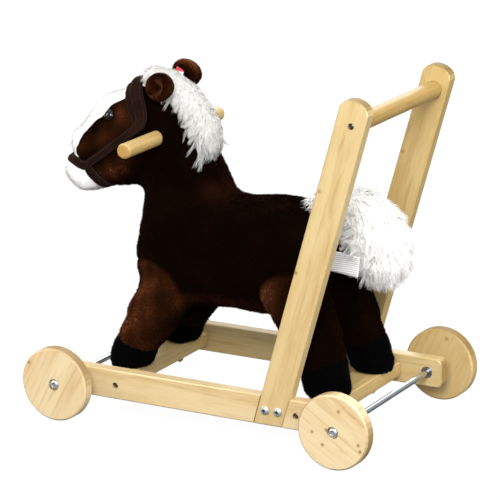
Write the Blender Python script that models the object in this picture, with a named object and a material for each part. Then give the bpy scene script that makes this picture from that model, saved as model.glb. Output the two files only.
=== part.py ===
"""Push-along plush horse on a wooden wheeled frame.

Metres, +Z up.  The horse looks along -Y, the push handle is at +Y, and +X is the
horse's left.  "left" pieces are at +X.  The dimensions below are measured from
the floor, midway between the two axles.  Once built, everything moves back by
ORIGIN_SHIFT_Y, which puts the origin on the floor under the middle of the whole
object's box, between the muzzle and the rear wheels.
"""
import math

import bpy
from mathutils import Vector

# ---------------------------------------------------------------- dimensions
GAP = 0.0003                    # clearance between pieces that touch
WHEEL_RADIUS = 0.050
WHEEL_THICKNESS = 0.018
WHEEL_OUTER_X = 0.166
WHEEL_INNER_X = WHEEL_OUTER_X - WHEEL_THICKNESS
WHEEL_EDGE = 0.0022             # rounding of the rim's edges
HUB_RECESS_RADIUS = 0.0080
HUB_RECESS_DEPTH = 0.005
AXLE_Y = 0.209                  # half the wheelbase
WHEEL_SEGMENTS = 40
ORIGIN_SHIFT_Y = 0.0125
AXLE_RADIUS = 0.004
BORE_CLEARANCE = 0.0003

RAIL_INNER_X = 0.110
RAIL_OUTER_X = 0.128
RAIL_MID_X = (RAIL_INNER_X + RAIL_OUTER_X) / 2
RAIL_BOTTOM = 0.030
RAIL_TOP = 0.070
RAIL_END_Y = 0.231
RAIL_CORNER = 0.008
TIMBER_EDGE = 0.0015            # sanded edges of the planed timber

BOARD_BOTTOM = 0.039
BOARD_TOP = 0.059
BOARD_Y = 0.150                 # centre line of each cross-board
BOARD_WIDTH = 0.040
BOARD_BOLT_Y = 0.136
BOARD_BOLT_Z = 0.049

UPRIGHT_WIDTH = 0.041
UPRIGHT_LEAN = math.radians(16.2)
UPRIGHT_FOOT_Y = 0.0948         # centre of the foot, at the rail's bottom edge
UPRIGHT_LENGTH = 0.460          # along the lean, foot to crown
UPRIGHT_CROWN = 0.009           # rise of the rounded top
LAP_BOLTS = ((0.0912, 0.0500), (0.1100, 0.0505))
HANDLE_Y = 0.2156
HANDLE_Z = 0.4395
HANDLE_RADIUS = 0.0115
HANDLE_SOCKET = 0.009           # depth of its sockets in the uprights

BOLT_RADIUS = 0.003
SUNK_HEAD_RADIUS = 0.004
SUNK_HOLE_RADIUS = 0.0044
SUNK_DEPTH = 0.006

HOOF_X = 0.065
HOOF_TOP = 0.098
HORSE_SEGMENTS = 24

GRIP_Y = -0.117
GRIP_Z = 0.371
GRIP_RADIUS = 0.0102
GRIP_HALF_LENGTH = 0.1264

BEAM_HALF_X = 0.018             # inner wooden beam of the horse
BEAM_BOTTOM = 0.200
BEAM_TOP = 0.232
BEAM_END_Y = 0.115
NECK_POST_Y = (-0.141, -0.093)
NECK_POST_HALF_X = 0.012
NECK_POST_TOP = 0.398
LEG_POST_RADIUS = 0.012

# ------------------------------------------------- the horse, ring by ring
# Barrel: (y, centre z, half width, half height), from chest to rump.
BARREL = (
    (-0.157, 0.214, 0.018, 0.020),
    (-0.152, 0.214, 0.042, 0.044),
    (-0.135, 0.214, 0.064, 0.065),
    (-0.105, 0.216, 0.078, 0.075),
    (-0.055, 0.218, 0.082, 0.078),
    (0.000, 0.221, 0.080, 0.077),
    (0.050, 0.223, 0.082, 0.079),
    (0.083, 0.223, 0.081, 0.079),
    (0.110, 0.222, 0.069, 0.069),
    (0.127, 0.221, 0.046, 0.048),
    (0.133, 0.221, 0.020, 0.022),
)
# Neck: (z, centre y, half width, half depth), from inside the barrel upwards.
NECK = (
    (0.212, -0.094, 0.068, 0.060),
    (0.270, -0.090, 0.064, 0.066),
    (0.300, -0.092, 0.057, 0.064),
    (0.318, -0.095, 0.053, 0.058),
    (0.342, -0.099, 0.049, 0.051),
    (0.365, -0.104, 0.046, 0.044),
    (0.395, -0.112, 0.040, 0.034),
    (0.418, -0.122, 0.028, 0.020),
)
# Head: (distance along its axis, top, bottom, half width), from poll to nose.
HEAD_ORIGIN = (-0.150, 0.365)
HEAD_DROP = math.radians(32)
HEAD = (
    (-0.074, 0.030, -0.020, 0.020),
    (-0.066, 0.052, -0.044, 0.034),
    (-0.040, 0.066, -0.060, 0.043),
    (0.000, 0.070, -0.063, 0.047),
    (0.022, 0.075, -0.061, 0.047),
    (0.042, 0.077, -0.055, 0.046),
    (0.062, 0.072, -0.047, 0.043),
    (0.082, 0.061, -0.040, 0.040),
    (0.104, 0.048, -0.034, 0.035),
    (0.124, 0.039, -0.026, 0.033),
    (0.138, 0.031, -0.012, 0.026),
    (0.146, 0.019, 0.003, 0.012),
)
# Legs: (z, centre x, centre y, half width, half depth), hoof upwards.
FRONT_LEG = (
    (0.0593, 0.0650, -0.1500, 0.0275, 0.0275),
    (0.0640, 0.0650, -0.1495, 0.0300, 0.0300),
    (0.0790, 0.0645, -0.1475, 0.0305, 0.0310),
    (0.0980, 0.0620, -0.1365, 0.0320, 0.0350),
    (0.1130, 0.0590, -0.1265, 0.0345, 0.0380),
    (0.1350, 0.0550, -0.1145, 0.0360, 0.0385),
    (0.1600, 0.0515, -0.1025, 0.0360, 0.0380),
    (0.1850, 0.0460, -0.0950, 0.0350, 0.0380),
    (0.2050, 0.0400, -0.0920, 0.0250, 0.0280),
)
REAR_LEG = (
    (0.0593, 0.0650, 0.1490, 0.0280, 0.0280),
    (0.0640, 0.0650, 0.1485, 0.0305, 0.0305),
    (0.0790, 0.0645, 0.1460, 0.0310, 0.0315),
    (0.0980, 0.0615, 0.1390, 0.0330, 0.0335),
    (0.1130, 0.0585, 0.1325, 0.0345, 0.0345),
    (0.1450, 0.0545, 0.1185, 0.0370, 0.0385),
    (0.1650, 0.0510, 0.1065, 0.0390, 0.0445),
    (0.1850, 0.0455, 0.0995, 0.0375, 0.0455),
    (0.2050, 0.0400, 0.0930, 0.0250, 0.0300),
)
# Mane and tail: (y, z, half width, half thickness), rings square to the path.
MANE = (
    (-0.152, 0.444, 0.006, 0.003),
    (-0.146, 0.447, 0.020, 0.009),
    (-0.120, 0.446, 0.025, 0.014),
    (-0.094, 0.429, 0.028, 0.016),
    (-0.074, 0.405, 0.029, 0.018),
    (-0.059, 0.379, 0.027, 0.018),
    (-0.053, 0.355, 0.022, 0.013),
    (-0.052, 0.343, 0.007, 0.004),
)
TAIL = (
    (0.092, 0.299, 0.008, 0.006),
    (0.102, 0.305, 0.019, 0.015),
    (0.132, 0.308, 0.028, 0.024),
    (0.160, 0.300, 0.034, 0.033),
    (0.182, 0.280, 0.037, 0.041),
    (0.194, 0.254, 0.036, 0.044),
    (0.199, 0.229, 0.030, 0.038),
    (0.200, 0.209, 0.018, 0.022),
    (0.200, 0.201, 0.006, 0.007),
)


# ------------------------------------------------------------------ helpers
def clear_scene():
    for obj in list(bpy.data.objects):
        bpy.data.objects.remove(obj, do_unlink=True)


def material(name, colour, roughness, metallic=0.0):
    mat = bpy.data.materials.new(name)
    mat.use_nodes = True
    shader = mat.node_tree.nodes["Principled BSDF"]
    shader.inputs["Base Color"].default_value = (*colour, 1.0)
    shader.inputs["Roughness"].default_value = roughness
    shader.inputs["Metallic"].default_value = metallic
    return mat


def add_object(name, vertices, faces, mat=None):
    mesh = bpy.data.meshes.new(name)
    mesh.from_pydata([tuple(v) for v in vertices], [], faces)
    mesh.validate()
    obj = bpy.data.objects.new(name, mesh)
    bpy.context.scene.collection.objects.link(obj)
    if mat:
        mesh.materials.append(mat)
    return obj


def shade(obj, angle=35):
    obj.data.shade_smooth()
    obj.data.set_sharp_from_angle(angle=math.radians(angle))


def skin(rings, closed_ends=True):
    """Vertices and faces of a tube through rings of points, capped at both ends."""
    count = len(rings[0])
    vertices = [point for ring in rings for point in ring]
    faces = []
    for i in range(len(rings) - 1):
        for j in range(count):
            k = (j + 1) % count
            faces.append((i * count + j, i * count + k, (i + 1) * count + k, (i + 1) * count + j))
    if closed_ends:
        last = (len(rings) - 1) * count
        faces.append(tuple(reversed(range(count))))
        faces.append(tuple(last + j for j in range(count)))
    return vertices, faces


def outward(vertices, faces):
    """The faces, all turned round if they enclose a negative volume."""
    volume = 0.0
    for face in faces:
        a = Vector(vertices[face[0]])
        for i in range(1, len(face) - 1):
            volume += a.dot(Vector(vertices[face[i]]).cross(Vector(vertices[face[i + 1]])))
    return faces if volume > 0 else [tuple(reversed(face)) for face in faces]


def solid_from_rings(name, rings, mat=None):
    vertices, faces = skin(rings)
    return add_object(name, vertices, outward(vertices, faces), mat)


def ellipse(centre, across, up, count):
    """Points round an ellipse with the half axes across and up."""
    points = []
    for i in range(count):
        angle = 2 * math.pi * i / count
        points.append(Vector(centre) + math.cos(angle) * Vector(across) + math.sin(angle) * Vector(up))
    return points


def turned(name, profile, axis_point, direction, mat=None, segments=20):
    """A turned solid.  profile is (radius, distance along direction), both ends capped."""
    direction = Vector(direction).normalized()
    side = direction.orthogonal().normalized()
    up = direction.cross(side)
    base = Vector(axis_point)
    rings = [ellipse(base + direction * along, side * radius, up * radius, segments)
             for radius, along in profile]
    return solid_from_rings(name, rings, mat)


def pipe(name, outer, inner, axis_point, direction, mat=None, segments=16):
    """A turned ring: outer is (radius, along) points, inner is a radius for the bore."""
    direction = Vector(direction).normalized()
    side = direction.orthogonal().normalized()
    up = direction.cross(side)
    base = Vector(axis_point)
    profile = list(outer) + [(inner, outer[-1][1]), (inner, outer[0][1])]
    rings = [ellipse(base + direction * along, side * radius, up * radius, segments)
             for radius, along in profile]
    rings.append(rings[0])
    vertices, faces = skin(rings[:-1], closed_ends=False)
    last = (len(profile) - 1) * segments
    for j in range(segments):
        k = (j + 1) % segments
        faces.append((last + j, last + k, k, j))
    return add_object(name, vertices, outward(vertices, faces), mat)


def cylinder_between(name, start, end, radius, mat=None, segments=16):
    axis = Vector(end) - Vector(start)
    return turned(name, ((radius, 0.0), (radius, axis.length)), start, axis, mat, segments)


def block(name, low, high, mat=None):
    (x0, y0, z0), (x1, y1, z1) = low, high
    rings = [[(x0, y0, z0), (x1, y0, z0), (x1, y1, z0), (x0, y1, z0)],
             [(x0, y0, z1), (x1, y0, z1), (x1, y1, z1), (x0, y1, z1)]]
    return solid_from_rings(name, rings, mat)


def prism(name, outline, x0, x1, mat=None):
    """The (y, z) outline, extruded from x0 to x1."""
    return solid_from_rings(name, [[(x, y, z) for y, z in outline] for x in (x0, x1)], mat)


def apply_modifiers(obj):
    graph = bpy.context.evaluated_depsgraph_get()
    mesh = bpy.data.meshes.new_from_object(obj.evaluated_get(graph))
    obj.modifiers.clear()
    obj.data = mesh


def combine(obj, others, operation):
    """Boolean obj with each of the others, which are then removed."""
    for other in others:
        modifier = obj.modifiers.new(operation, "BOOLEAN")
        modifier.operation = operation
        modifier.solver = "EXACT"
        modifier.object = other
        apply_modifiers(obj)
        bpy.data.objects.remove(other, do_unlink=True)
    return obj


def cut(obj, *cutters):
    return combine(obj, cutters, "DIFFERENCE")


def round_edges(obj, width, angle=50):
    """Sand the sharp edges of a planed piece."""
    bevel = obj.modifiers.new("Sanded", "BEVEL")
    bevel.width = width
    bevel.limit_method = "ANGLE"
    bevel.angle_limit = math.radians(angle)
    apply_modifiers(obj)
    return obj


def rounded_outline(corners, radius, steps=4):
    """The (y, z) corners of a convex outline, each rounded by its own radius."""
    outline = []
    count = len(corners)
    for i, corner in enumerate(corners):
        here = Vector(corner)
        before = (Vector(corners[i - 1]) - here).normalized()
        after = (Vector(corners[(i + 1) % count]) - here).normalized()
        size = radius[i]
        if not size:
            outline.append(tuple(here))
            continue
        half = before.angle(after) / 2
        setback = size / math.tan(half)
        centre = here + (before + after).normalized() * size / math.sin(half)
        start = here + before * setback - centre
        end = here + after * setback - centre
        for step in range(steps + 1):
            point = start.lerp(end, step / steps).normalized() * size
            outline.append(tuple(centre + point))
    return outline


# ---------------------------------------------------------------- materials
PINE = material("pale_pine", (0.80, 0.62, 0.34), 0.45)
CHROME = material("bright_steel", (0.72, 0.73, 0.74), 0.22, 1.0)
NYLON = material("grey_nylon", (0.20, 0.20, 0.19), 0.5)
BROWN_PLUSH = material("dark_brown_plush", (0.022, 0.009, 0.005), 0.9)
BLACK_PLUSH = material("black_plush", (0.006, 0.006, 0.007), 0.9)
WHITE_PLUSH = material("white_plush", (0.82, 0.81, 0.79), 0.9)
SUEDE = material("brown_suede", (0.030, 0.016, 0.012), 0.85)
EYE_BLACK = material("eye_black", (0.008, 0.008, 0.008), 0.08)
LABEL = material("label_satin", (0.75, 0.75, 0.74), 0.6)

SIDES = (("left", 1), ("right", -1))
ENDS = (("front", -1), ("rear", 1))


# ------------------------------------------------------------- wooden frame
def lean_point(along, across):
    """(y, z) on the upright: along its length and across its width."""
    y = UPRIGHT_FOOT_Y + along * math.sin(UPRIGHT_LEAN) + across * math.cos(UPRIGHT_LEAN)
    z = RAIL_BOTTOM + along * math.cos(UPRIGHT_LEAN) - across * math.sin(UPRIGHT_LEAN)
    return y, z


def foot_outline(bottom, top, grow):
    """The slanted (y, z) outline of the upright between two heights."""
    half = UPRIGHT_WIDTH / 2 / math.cos(UPRIGHT_LEAN) + grow
    slope = math.tan(UPRIGHT_LEAN)
    low = UPRIGHT_FOOT_Y + (bottom - RAIL_BOTTOM) * slope
    high = UPRIGHT_FOOT_Y + (top - RAIL_BOTTOM) * slope
    return ((low - half, bottom), (low + half, bottom), (high + half, top), (high - half, top))


def x_hole(name, y, z, radius, x0, x1):
    return cylinder_between(name, (x0, y, z), (x1, y, z), radius)


def side_rail(side, sign):
    corners = ((-RAIL_END_Y, RAIL_BOTTOM), (RAIL_END_Y, RAIL_BOTTOM),
               (RAIL_END_Y, RAIL_TOP), (-RAIL_END_Y, RAIL_TOP))
    rail = prism("side_rail_" + side, rounded_outline(corners, [RAIL_CORNER] * 4),
                 sign * RAIL_INNER_X, sign * RAIL_OUTER_X, PINE)
    round_edges(rail, TIMBER_EDGE)
    # Housing for the upright's foot, cut half way through from outside.
    cutters = [prism("cutter", foot_outline(RAIL_BOTTOM - 0.01, RAIL_TOP + 0.01, GAP),
                     sign * (RAIL_MID_X - GAP), sign * (RAIL_OUTER_X + 0.01))]
    for y, z in LAP_BOLTS:
        cutters.append(x_hole("cutter", y, z, BOLT_RADIUS + BORE_CLEARANCE,
                              sign * (RAIL_INNER_X - 0.01), sign * (RAIL_OUTER_X + 0.01)))
    for _, end in ENDS:
        y = end * BOARD_BOLT_Y
        cutters.append(x_hole("cutter", y, BOARD_BOLT_Z, BOLT_RADIUS + BORE_CLEARANCE,
                              sign * (RAIL_INNER_X - 0.01), sign * (RAIL_OUTER_X + 0.01)))
        cutters.append(x_hole("cutter", y, BOARD_BOLT_Z, SUNK_HOLE_RADIUS,
                              sign * (RAIL_OUTER_X - SUNK_DEPTH), sign * (RAIL_OUTER_X + 0.01)))
        y = end * AXLE_Y
        cutters.append(x_hole("cutter", y, WHEEL_RADIUS, BUSH_RADIUS + BORE_CLEARANCE,
                              sign * (RAIL_INNER_X - 0.01), sign * (RAIL_OUTER_X + 0.01)))
        cutters.append(x_hole("cutter", y, WHEEL_RADIUS, BUSH_FLANGE_RADIUS + BORE_CLEARANCE,
                              sign * (RAIL_INNER_X - 0.01), sign * (RAIL_INNER_X + BUSH_RECESS)))
    cut(rail, *cutters)
    shade(rail)


def cross_board(end_name, end):
    half_x = RAIL_INNER_X - GAP
    y = end * BOARD_Y
    board = block("cross_board_" + end_name, (-half_x, y - BOARD_WIDTH / 2, BOARD_BOTTOM),
                  (half_x, y + BOARD_WIDTH / 2, BOARD_TOP), PINE)
    round_edges(board, TIMBER_EDGE)
    cutters = []
    for _, sign in SIDES:
        cutters.append(x_hole("cutter", end * BOARD_BOLT_Y, BOARD_BOLT_Z, BOLT_RADIUS + BORE_CLEARANCE,
                              sign * BOARD_BORE_X, sign * (half_x + 0.01)))
        cutters.append(cylinder_between("cutter", (sign * HOOF_X, y, BOARD_BOTTOM - 0.01),
                                        (sign * HOOF_X, y, BOARD_TOP + 0.01),
                                        BOLT_RADIUS + BORE_CLEARANCE))
    cut(board, *cutters)
    shade(board)


def upright(side, sign):
    # Blade with a low rounded crown, square to its length.
    half = UPRIGHT_WIDTH / 2
    shoulder = UPRIGHT_LENGTH - UPRIGHT_CROWN
    radius = (half ** 2 + UPRIGHT_CROWN ** 2) / (2 * UPRIGHT_CROWN)
    crown_angle = math.asin(half / radius)
    steps = 10
    outline = [foot_outline(RAIL_BOTTOM, RAIL_TOP, 0)[0], foot_outline(RAIL_BOTTOM, RAIL_TOP, 0)[1]]
    for i in range(steps + 1):
        angle = crown_angle * (1 - 2 * i / steps)
        across = radius * math.sin(angle)
        along = shoulder + radius * math.cos(angle) - (radius - UPRIGHT_CROWN)
        # The crown turns into the long edges over a few millimetres.
        ease = max(0.0, abs(across) - (half - 0.006)) / 0.006
        outline.append(lean_point(along - 0.004 * ease ** 2, across))
    blade = prism("upright_" + side, outline, sign * RAIL_INNER_X, sign * RAIL_OUTER_X, PINE)
    round_edges(blade, TIMBER_EDGE)
    # The foot keeps its outer half only, and the rest stands on the rail.
    low_x, high_x = sorted((sign * (RAIL_INNER_X - 0.01), sign * RAIL_MID_X))
    cutters = [block("cutter", (low_x, 0.0, 0.0), (high_x, 0.25, RAIL_TOP + GAP))]
    for y, z in LAP_BOLTS:
        cutters.append(x_hole("cutter", y, z, BOLT_RADIUS + BORE_CLEARANCE,
                              sign * (RAIL_INNER_X - 0.01), sign * (RAIL_OUTER_X + 0.01)))
    cutters.append(x_hole("cutter", HANDLE_Y, HANDLE_Z, BOLT_RADIUS + BORE_CLEARANCE,
                          sign * (RAIL_INNER_X - 0.01), sign * (RAIL_OUTER_X + 0.01)))
    cutters.append(cylinder_between("cutter", (sign * (RAIL_INNER_X - 0.01), HANDLE_Y, HANDLE_Z),
                                    (sign * (RAIL_INNER_X + HANDLE_SOCKET), HANDLE_Y, HANDLE_Z),
                                    HANDLE_RADIUS + GAP, segments=32))
    cutters.append(x_hole("cutter", HANDLE_Y, HANDLE_Z, SUNK_HOLE_RADIUS,
                          sign * (RAIL_OUTER_X - SUNK_DEPTH), sign * (RAIL_OUTER_X + 0.01)))
    cut(blade, *cutters)
    shade(blade)


# ------------------------------------------------------------- running gear
BUSH_RADIUS = 0.0062
BUSH_FLANGE_RADIUS = 0.0078
BUSH_RECESS = 0.0032
BUSH_FLANGE = 0.0018
SPACER_RADIUS = 0.009
BOARD_BORE_X = 0.0845
FASTENER_SEGMENTS = 12


def axle(end_name, end):
    """Plain steel rod, tapped at both ends for the wheel bolts."""
    half = WHEEL_OUTER_X - HUB_RECESS_DEPTH + 0.0002
    rod = turned("axle_" + end_name, ((AXLE_RADIUS - 0.0004, -half), (AXLE_RADIUS, -half + 0.0004),
                                      (AXLE_RADIUS, half - 0.0004), (AXLE_RADIUS - 0.0004, half)),
                 (0, end * AXLE_Y, WHEEL_RADIUS), (1, 0, 0), CHROME)
    y = end * AXLE_Y
    cut(rod, *[x_hole("cutter", y, WHEEL_RADIUS, WHEEL_BOLT_RADIUS + BORE_CLEARANCE,
                      sign * (half - WHEEL_BOLT_LENGTH - GAP), sign * (half + 0.01))
               for _, sign in SIDES])
    shade(rod)


def axle_bush(place, sign, end):
    """Flanged sleeve in the rail, its flange sunk in the rail's inner face."""
    start = RAIL_INNER_X + BUSH_RECESS - GAP - BUSH_FLANGE
    outer = ((BUSH_FLANGE_RADIUS, start), (BUSH_FLANGE_RADIUS, start + BUSH_FLANGE),
             (BUSH_RADIUS, start + BUSH_FLANGE), (BUSH_RADIUS, RAIL_OUTER_X - GAP))
    bush = pipe("axle_bush_" + place, outer, AXLE_RADIUS + GAP,
                (0, end * AXLE_Y, WHEEL_RADIUS), (sign, 0, 0), CHROME)
    shade(bush)


def wheel_spacer(place, sign, end):
    outer = ((SPACER_RADIUS, RAIL_OUTER_X + GAP), (SPACER_RADIUS, WHEEL_INNER_X - GAP))
    spacer = pipe("wheel_spacer_" + place, outer, AXLE_RADIUS + GAP,
                  (0, end * AXLE_Y, WHEEL_RADIUS), (sign, 0, 0), NYLON)
    shade(spacer)


def wheel(place, sign, end):
    """Turned wooden disc with eased edges and a recess for the bolt's head."""
    recess_floor = WHEEL_OUTER_X - HUB_RECESS_DEPTH
    bore = AXLE_RADIUS + BORE_CLEARANCE
    edge = WHEEL_EDGE
    # The tread's flats touch the true circle, and one of them lies on the floor.
    tread = WHEEL_RADIUS / math.cos(math.pi / WHEEL_SEGMENTS)
    outer = ((tread - edge, WHEEL_INNER_X), (tread, WHEEL_INNER_X + edge),
             (tread, WHEEL_OUTER_X - edge), (tread - edge, WHEEL_OUTER_X),
             (HUB_RECESS_RADIUS, WHEEL_OUTER_X), (HUB_RECESS_RADIUS, recess_floor))
    # Modelled round its own axis at the object's origin, so that it turns there.
    disc = pipe("wheel_" + place, [(r, x - WHEEL_INNER_X) for r, x in outer], bore,
                (0, 0, 0), (sign, 0, 0), PINE, WHEEL_SEGMENTS)
    disc.rotation_euler.x = math.pi / WHEEL_SEGMENTS
    disc.location = (sign * WHEEL_INNER_X, end * AXLE_Y, WHEEL_RADIUS)
    shade(disc)


HOOF_BOLT_TOP = 0.074
WHEEL_BOLT_RADIUS = 0.002
WHEEL_BOLT_LENGTH = 0.020


def button_bolt(name, face, y, z, sign, head_radius, head_height, shank_radius, length, socket):
    """Button-head bolt along X with a hexagon socket.  Its head seats at x = face."""
    profile = ((shank_radius, -length), (shank_radius, 0.0), (head_radius, 0.0),
               (head_radius, 0.25 * head_height), (0.86 * head_radius, 0.65 * head_height),
               (0.60 * head_radius, head_height))
    bolt = turned(name, profile, (sign * face, y, z), (sign, 0, 0), CHROME, FASTENER_SEGMENTS)
    depth = 0.6 * head_height
    tool = turned("cutter", ((socket, head_height - depth), (socket, head_height + 0.005)),
                  (sign * face, y, z), (sign, 0, 0), segments=6)
    cut(bolt, tool)
    shade(bolt)


def hoof_bolt(place, sign, end):
    """Bolt up through the cross-board into the leg post, with washer and domed nut below."""
    low = BOARD_BOTTOM - GAP
    profile = ((0.0015, low - 0.0140), (0.0042, low - 0.0115), (0.0052, low - 0.0075),
               (0.0058, low - 0.0015), (0.0080, low - 0.0015), (0.0080, low),
               (BOLT_RADIUS, low), (BOLT_RADIUS, HOOF_BOLT_TOP))
    bolt = turned("hoof_bolt_" + place, profile, (sign * HOOF_X, end * BOARD_Y, 0), (0, 0, 1),
                  CHROME, FASTENER_SEGMENTS)
    shade(bolt)


# ------------------------------------------------------- inner horse frame
def leg_rings(end):
    return FRONT_LEG if end < 0 else REAR_LEG


def leg_post_axis(sign, end):
    foot = Vector((sign * (HOOF_X + 0.0065), end * (BOARD_Y + 0.0065), 0.045))
    top = Vector((sign * 0.0125, end * 0.0965, 0.2212))
    return foot, top


def leg_post_shape(name, sign, end, grow, mat=None):
    foot, top = leg_post_axis(sign, end)
    return cylinder_between(name, foot, top, LEG_POST_RADIUS + grow, mat, 14)


def beam_shape(name, grow, mat=None):
    return block(name, (-BEAM_HALF_X - grow, -BEAM_END_Y - grow, BEAM_BOTTOM - grow),
                 (BEAM_HALF_X + grow, BEAM_END_Y + grow, BEAM_TOP + grow), mat)


def neck_post_shape(name, grow, mat=None):
    return block(name, (-NECK_POST_HALF_X - grow, NECK_POST_Y[0] - grow, BEAM_TOP + GAP - grow),
                 (NECK_POST_HALF_X + grow, NECK_POST_Y[1] + grow, NECK_POST_TOP + grow), mat)


def grip_shape(name, grow, half_length, mat=None):
    radius = GRIP_RADIUS + grow
    ease = 0.0035
    profile = ((radius - ease, -half_length), (radius - 0.3 * ease, -half_length + 0.3 * ease),
               (radius, -half_length + ease), (radius, half_length - ease),
               (radius - 0.3 * ease, half_length - 0.3 * ease), (radius - ease, half_length))
    return turned(name, profile, (0, GRIP_Y, GRIP_Z), (1, 0, 0), mat, 24)


def hoof_bore(sign, end):
    low = (sign * HOOF_X, end * BOARD_Y, 0.03)
    high = (sign * HOOF_X, end * BOARD_Y, HOOF_BOLT_TOP + GAP)
    return cylinder_between("cutter", low, high, BOLT_RADIUS + BORE_CLEARANCE)


def leg_post(place, sign, end):
    post = leg_post_shape("leg_post_" + place, sign, end, 0, PINE)
    foot = block("cutter", (-0.2, -0.3, 0.0), (0.2, 0.3, BOARD_TOP + GAP))
    cut(post, foot, hoof_bore(sign, end), beam_shape("cutter", GAP))
    shade(post)


def inner_frame():
    beam = beam_shape("spine_beam", 0, PINE)
    shade(beam)
    post = neck_post_shape("neck_post", 0, PINE)
    cut(post, grip_shape("cutter", GAP, 0.05))
    shade(post)


# ------------------------------------------------------------------ horse
def path_rings(points, grow):
    """Rings square to a (y, z) path, each (y, z, half width, half thickness)."""
    rings = []
    last = len(points) - 1
    for i, (y, z, half_x, half_t) in enumerate(points):
        before = points[max(i - 1, 0)]
        after = points[min(i + 1, last)]
        along = Vector((0, after[0] - before[0], after[1] - before[1])).normalized()
        normal = Vector((0, -along.z, along.y))
        shift = along * grow * (-1 if i == 0 else 1 if i == last else 0)
        rings.append(ellipse(Vector((0, y, z)) + shift, (half_x + grow, 0, 0),
                             normal * (half_t + grow), 16))
    return rings


def head_point(along, top, bottom, half_x, angle, lift=0.0):
    """A point round the head's section at a distance along the head's axis."""
    drop = Vector((0, -math.cos(HEAD_DROP), -math.sin(HEAD_DROP)))
    up = Vector((0, -math.sin(HEAD_DROP), math.cos(HEAD_DROP)))
    centre = Vector((0, *HEAD_ORIGIN)) + drop * along + up * (top + bottom) / 2
    half_up = (top - bottom) / 2
    return (centre + Vector((1, 0, 0)) * (half_x + lift) * math.cos(angle)
            + up * (half_up + lift) * math.sin(angle))


def head_section(along):
    """The head's (top, bottom, half width), interpolated between its rings."""
    for one, two in zip(HEAD, HEAD[1:]):
        if along <= two[0]:
            t = (along - one[0]) / (two[0] - one[0])
            return tuple(a + (b - a) * t for a, b in zip(one[1:], two[1:]))
    return HEAD[-1][1:]


def horse_blank():
    """Barrel, neck, head and legs joined into one closed body."""
    count = HORSE_SEGMENTS
    body = solid_from_rings("plush_body", [ellipse((0, y, z), (rx, 0, 0), (0, 0, rz), count)
                                           for y, z, rx, rz in BARREL], BROWN_PLUSH)
    neck = solid_from_rings("part", [ellipse((0, y, z), (rx, 0, 0), (0, ry, 0), count)
                                     for z, y, rx, ry in NECK])
    head = solid_from_rings("part", [[head_point(*ring, 2 * math.pi * i / count) for i in range(count)]
                                     for ring in HEAD])
    legs = []
    for _, end in ENDS:
        for _, sign in SIDES:
            legs.append(solid_from_rings("part", [
                ellipse((sign * x, y, z), (rx, 0, 0), (0, ry, 0), 20)
                for z, x, y, rx, ry in leg_rings(end) if z > HOOF_TOP - 0.015]))
    return combine(body, [neck, head] + legs, "UNION")


def plush_body():
    """The stuffed horse, hollow only for its wooden frame, grip and sewn-on pieces."""
    body = horse_blank()
    cutters = [block("cutter", (-0.2, -0.3, 0.0), (0.2, 0.3, HOOF_TOP + GAP)),
               beam_shape("cutter", GAP), neck_post_shape("cutter", GAP),
               grip_shape("cutter", GAP, 0.12)]
    for _, end in ENDS:
        for _, sign in SIDES:
            cutters.append(leg_post_shape("cutter", sign, end, GAP))
    for _, sign in SIDES:
        cutters.append(ear_shape("cutter", sign, GAP))
        cutters.append(eye_shape("cutter", sign, GAP))
    cutters.append(solid_from_rings("cutter", path_rings(MANE, GAP)))
    cutters.append(solid_from_rings("cutter", path_rings(TAIL, GAP)))
    cut(body, *cutters)
    shade(body, 60)


def hoof(place, sign, end):
    """Black plush foot round the lower end of the leg post."""
    rings = [ellipse((sign * x, y, z), (rx, 0, 0), (0, ry, 0), 20)
             for z, x, y, rx, ry in leg_rings(end) if z <= HOOF_TOP]
    shoe = solid_from_rings("hoof_" + place, rings, BLACK_PLUSH)
    cut(shoe, leg_post_shape("cutter", sign, end, GAP), hoof_bore(sign, end))
    shade(shoe, 60)


EAR_BASE = (0.029, -0.113, 0.414)
EAR_TIP = (0.041, -0.114, 0.463)
EAR_SHAPE = ((0.00, 0.012, 0.006), (0.15, 0.018, 0.0065), (0.40, 0.0215, 0.006),
             (0.65, 0.0215, 0.005), (0.86, 0.017, 0.004), (1.00, 0.007, 0.002))


def ear_shape(name, sign, grow, mat=None):
    """A round leaf: (part of the length, half width along Y, half thickness)."""
    base = Vector((sign * EAR_BASE[0], *EAR_BASE[1:]))
    tip = Vector((sign * EAR_TIP[0], *EAR_TIP[1:]))
    axis = (tip - base).normalized()
    thick = Vector((0, 1, 0)).cross(axis).normalized()
    rings = []
    for i, (part, half_y, half_t) in enumerate(EAR_SHAPE):
        shift = axis * grow * (-1 if i == 0 else 1 if part == 1 else 0)
        rings.append(ellipse(base.lerp(tip, part) + shift, (0, half_y + grow, 0),
                             thick * (half_t + grow), 16))
    return solid_from_rings(name, rings, mat)


EYE_CENTRE = (0.0345, -0.192, 0.3925)
EYE_RADIUS = 0.0068


def eye_shape(name, sign, grow, mat=None):
    """A domed plastic button, most of it sunk in the plush."""
    radius = EYE_RADIUS + grow
    steps = 8
    profile = []
    for i in range(steps):
        angle = math.pi * (i + 0.5) / steps
        profile.append((radius * math.sin(angle), -0.75 * radius * math.cos(angle)))
    centre = (sign * EYE_CENTRE[0], *EYE_CENTRE[1:])
    return turned(name, profile, centre, (sign, -0.32, 0.22), mat, 20)


STRAP_LIFT = (0.0014, 0.0034)   # inner and outer faces of the straps over the plush


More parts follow.
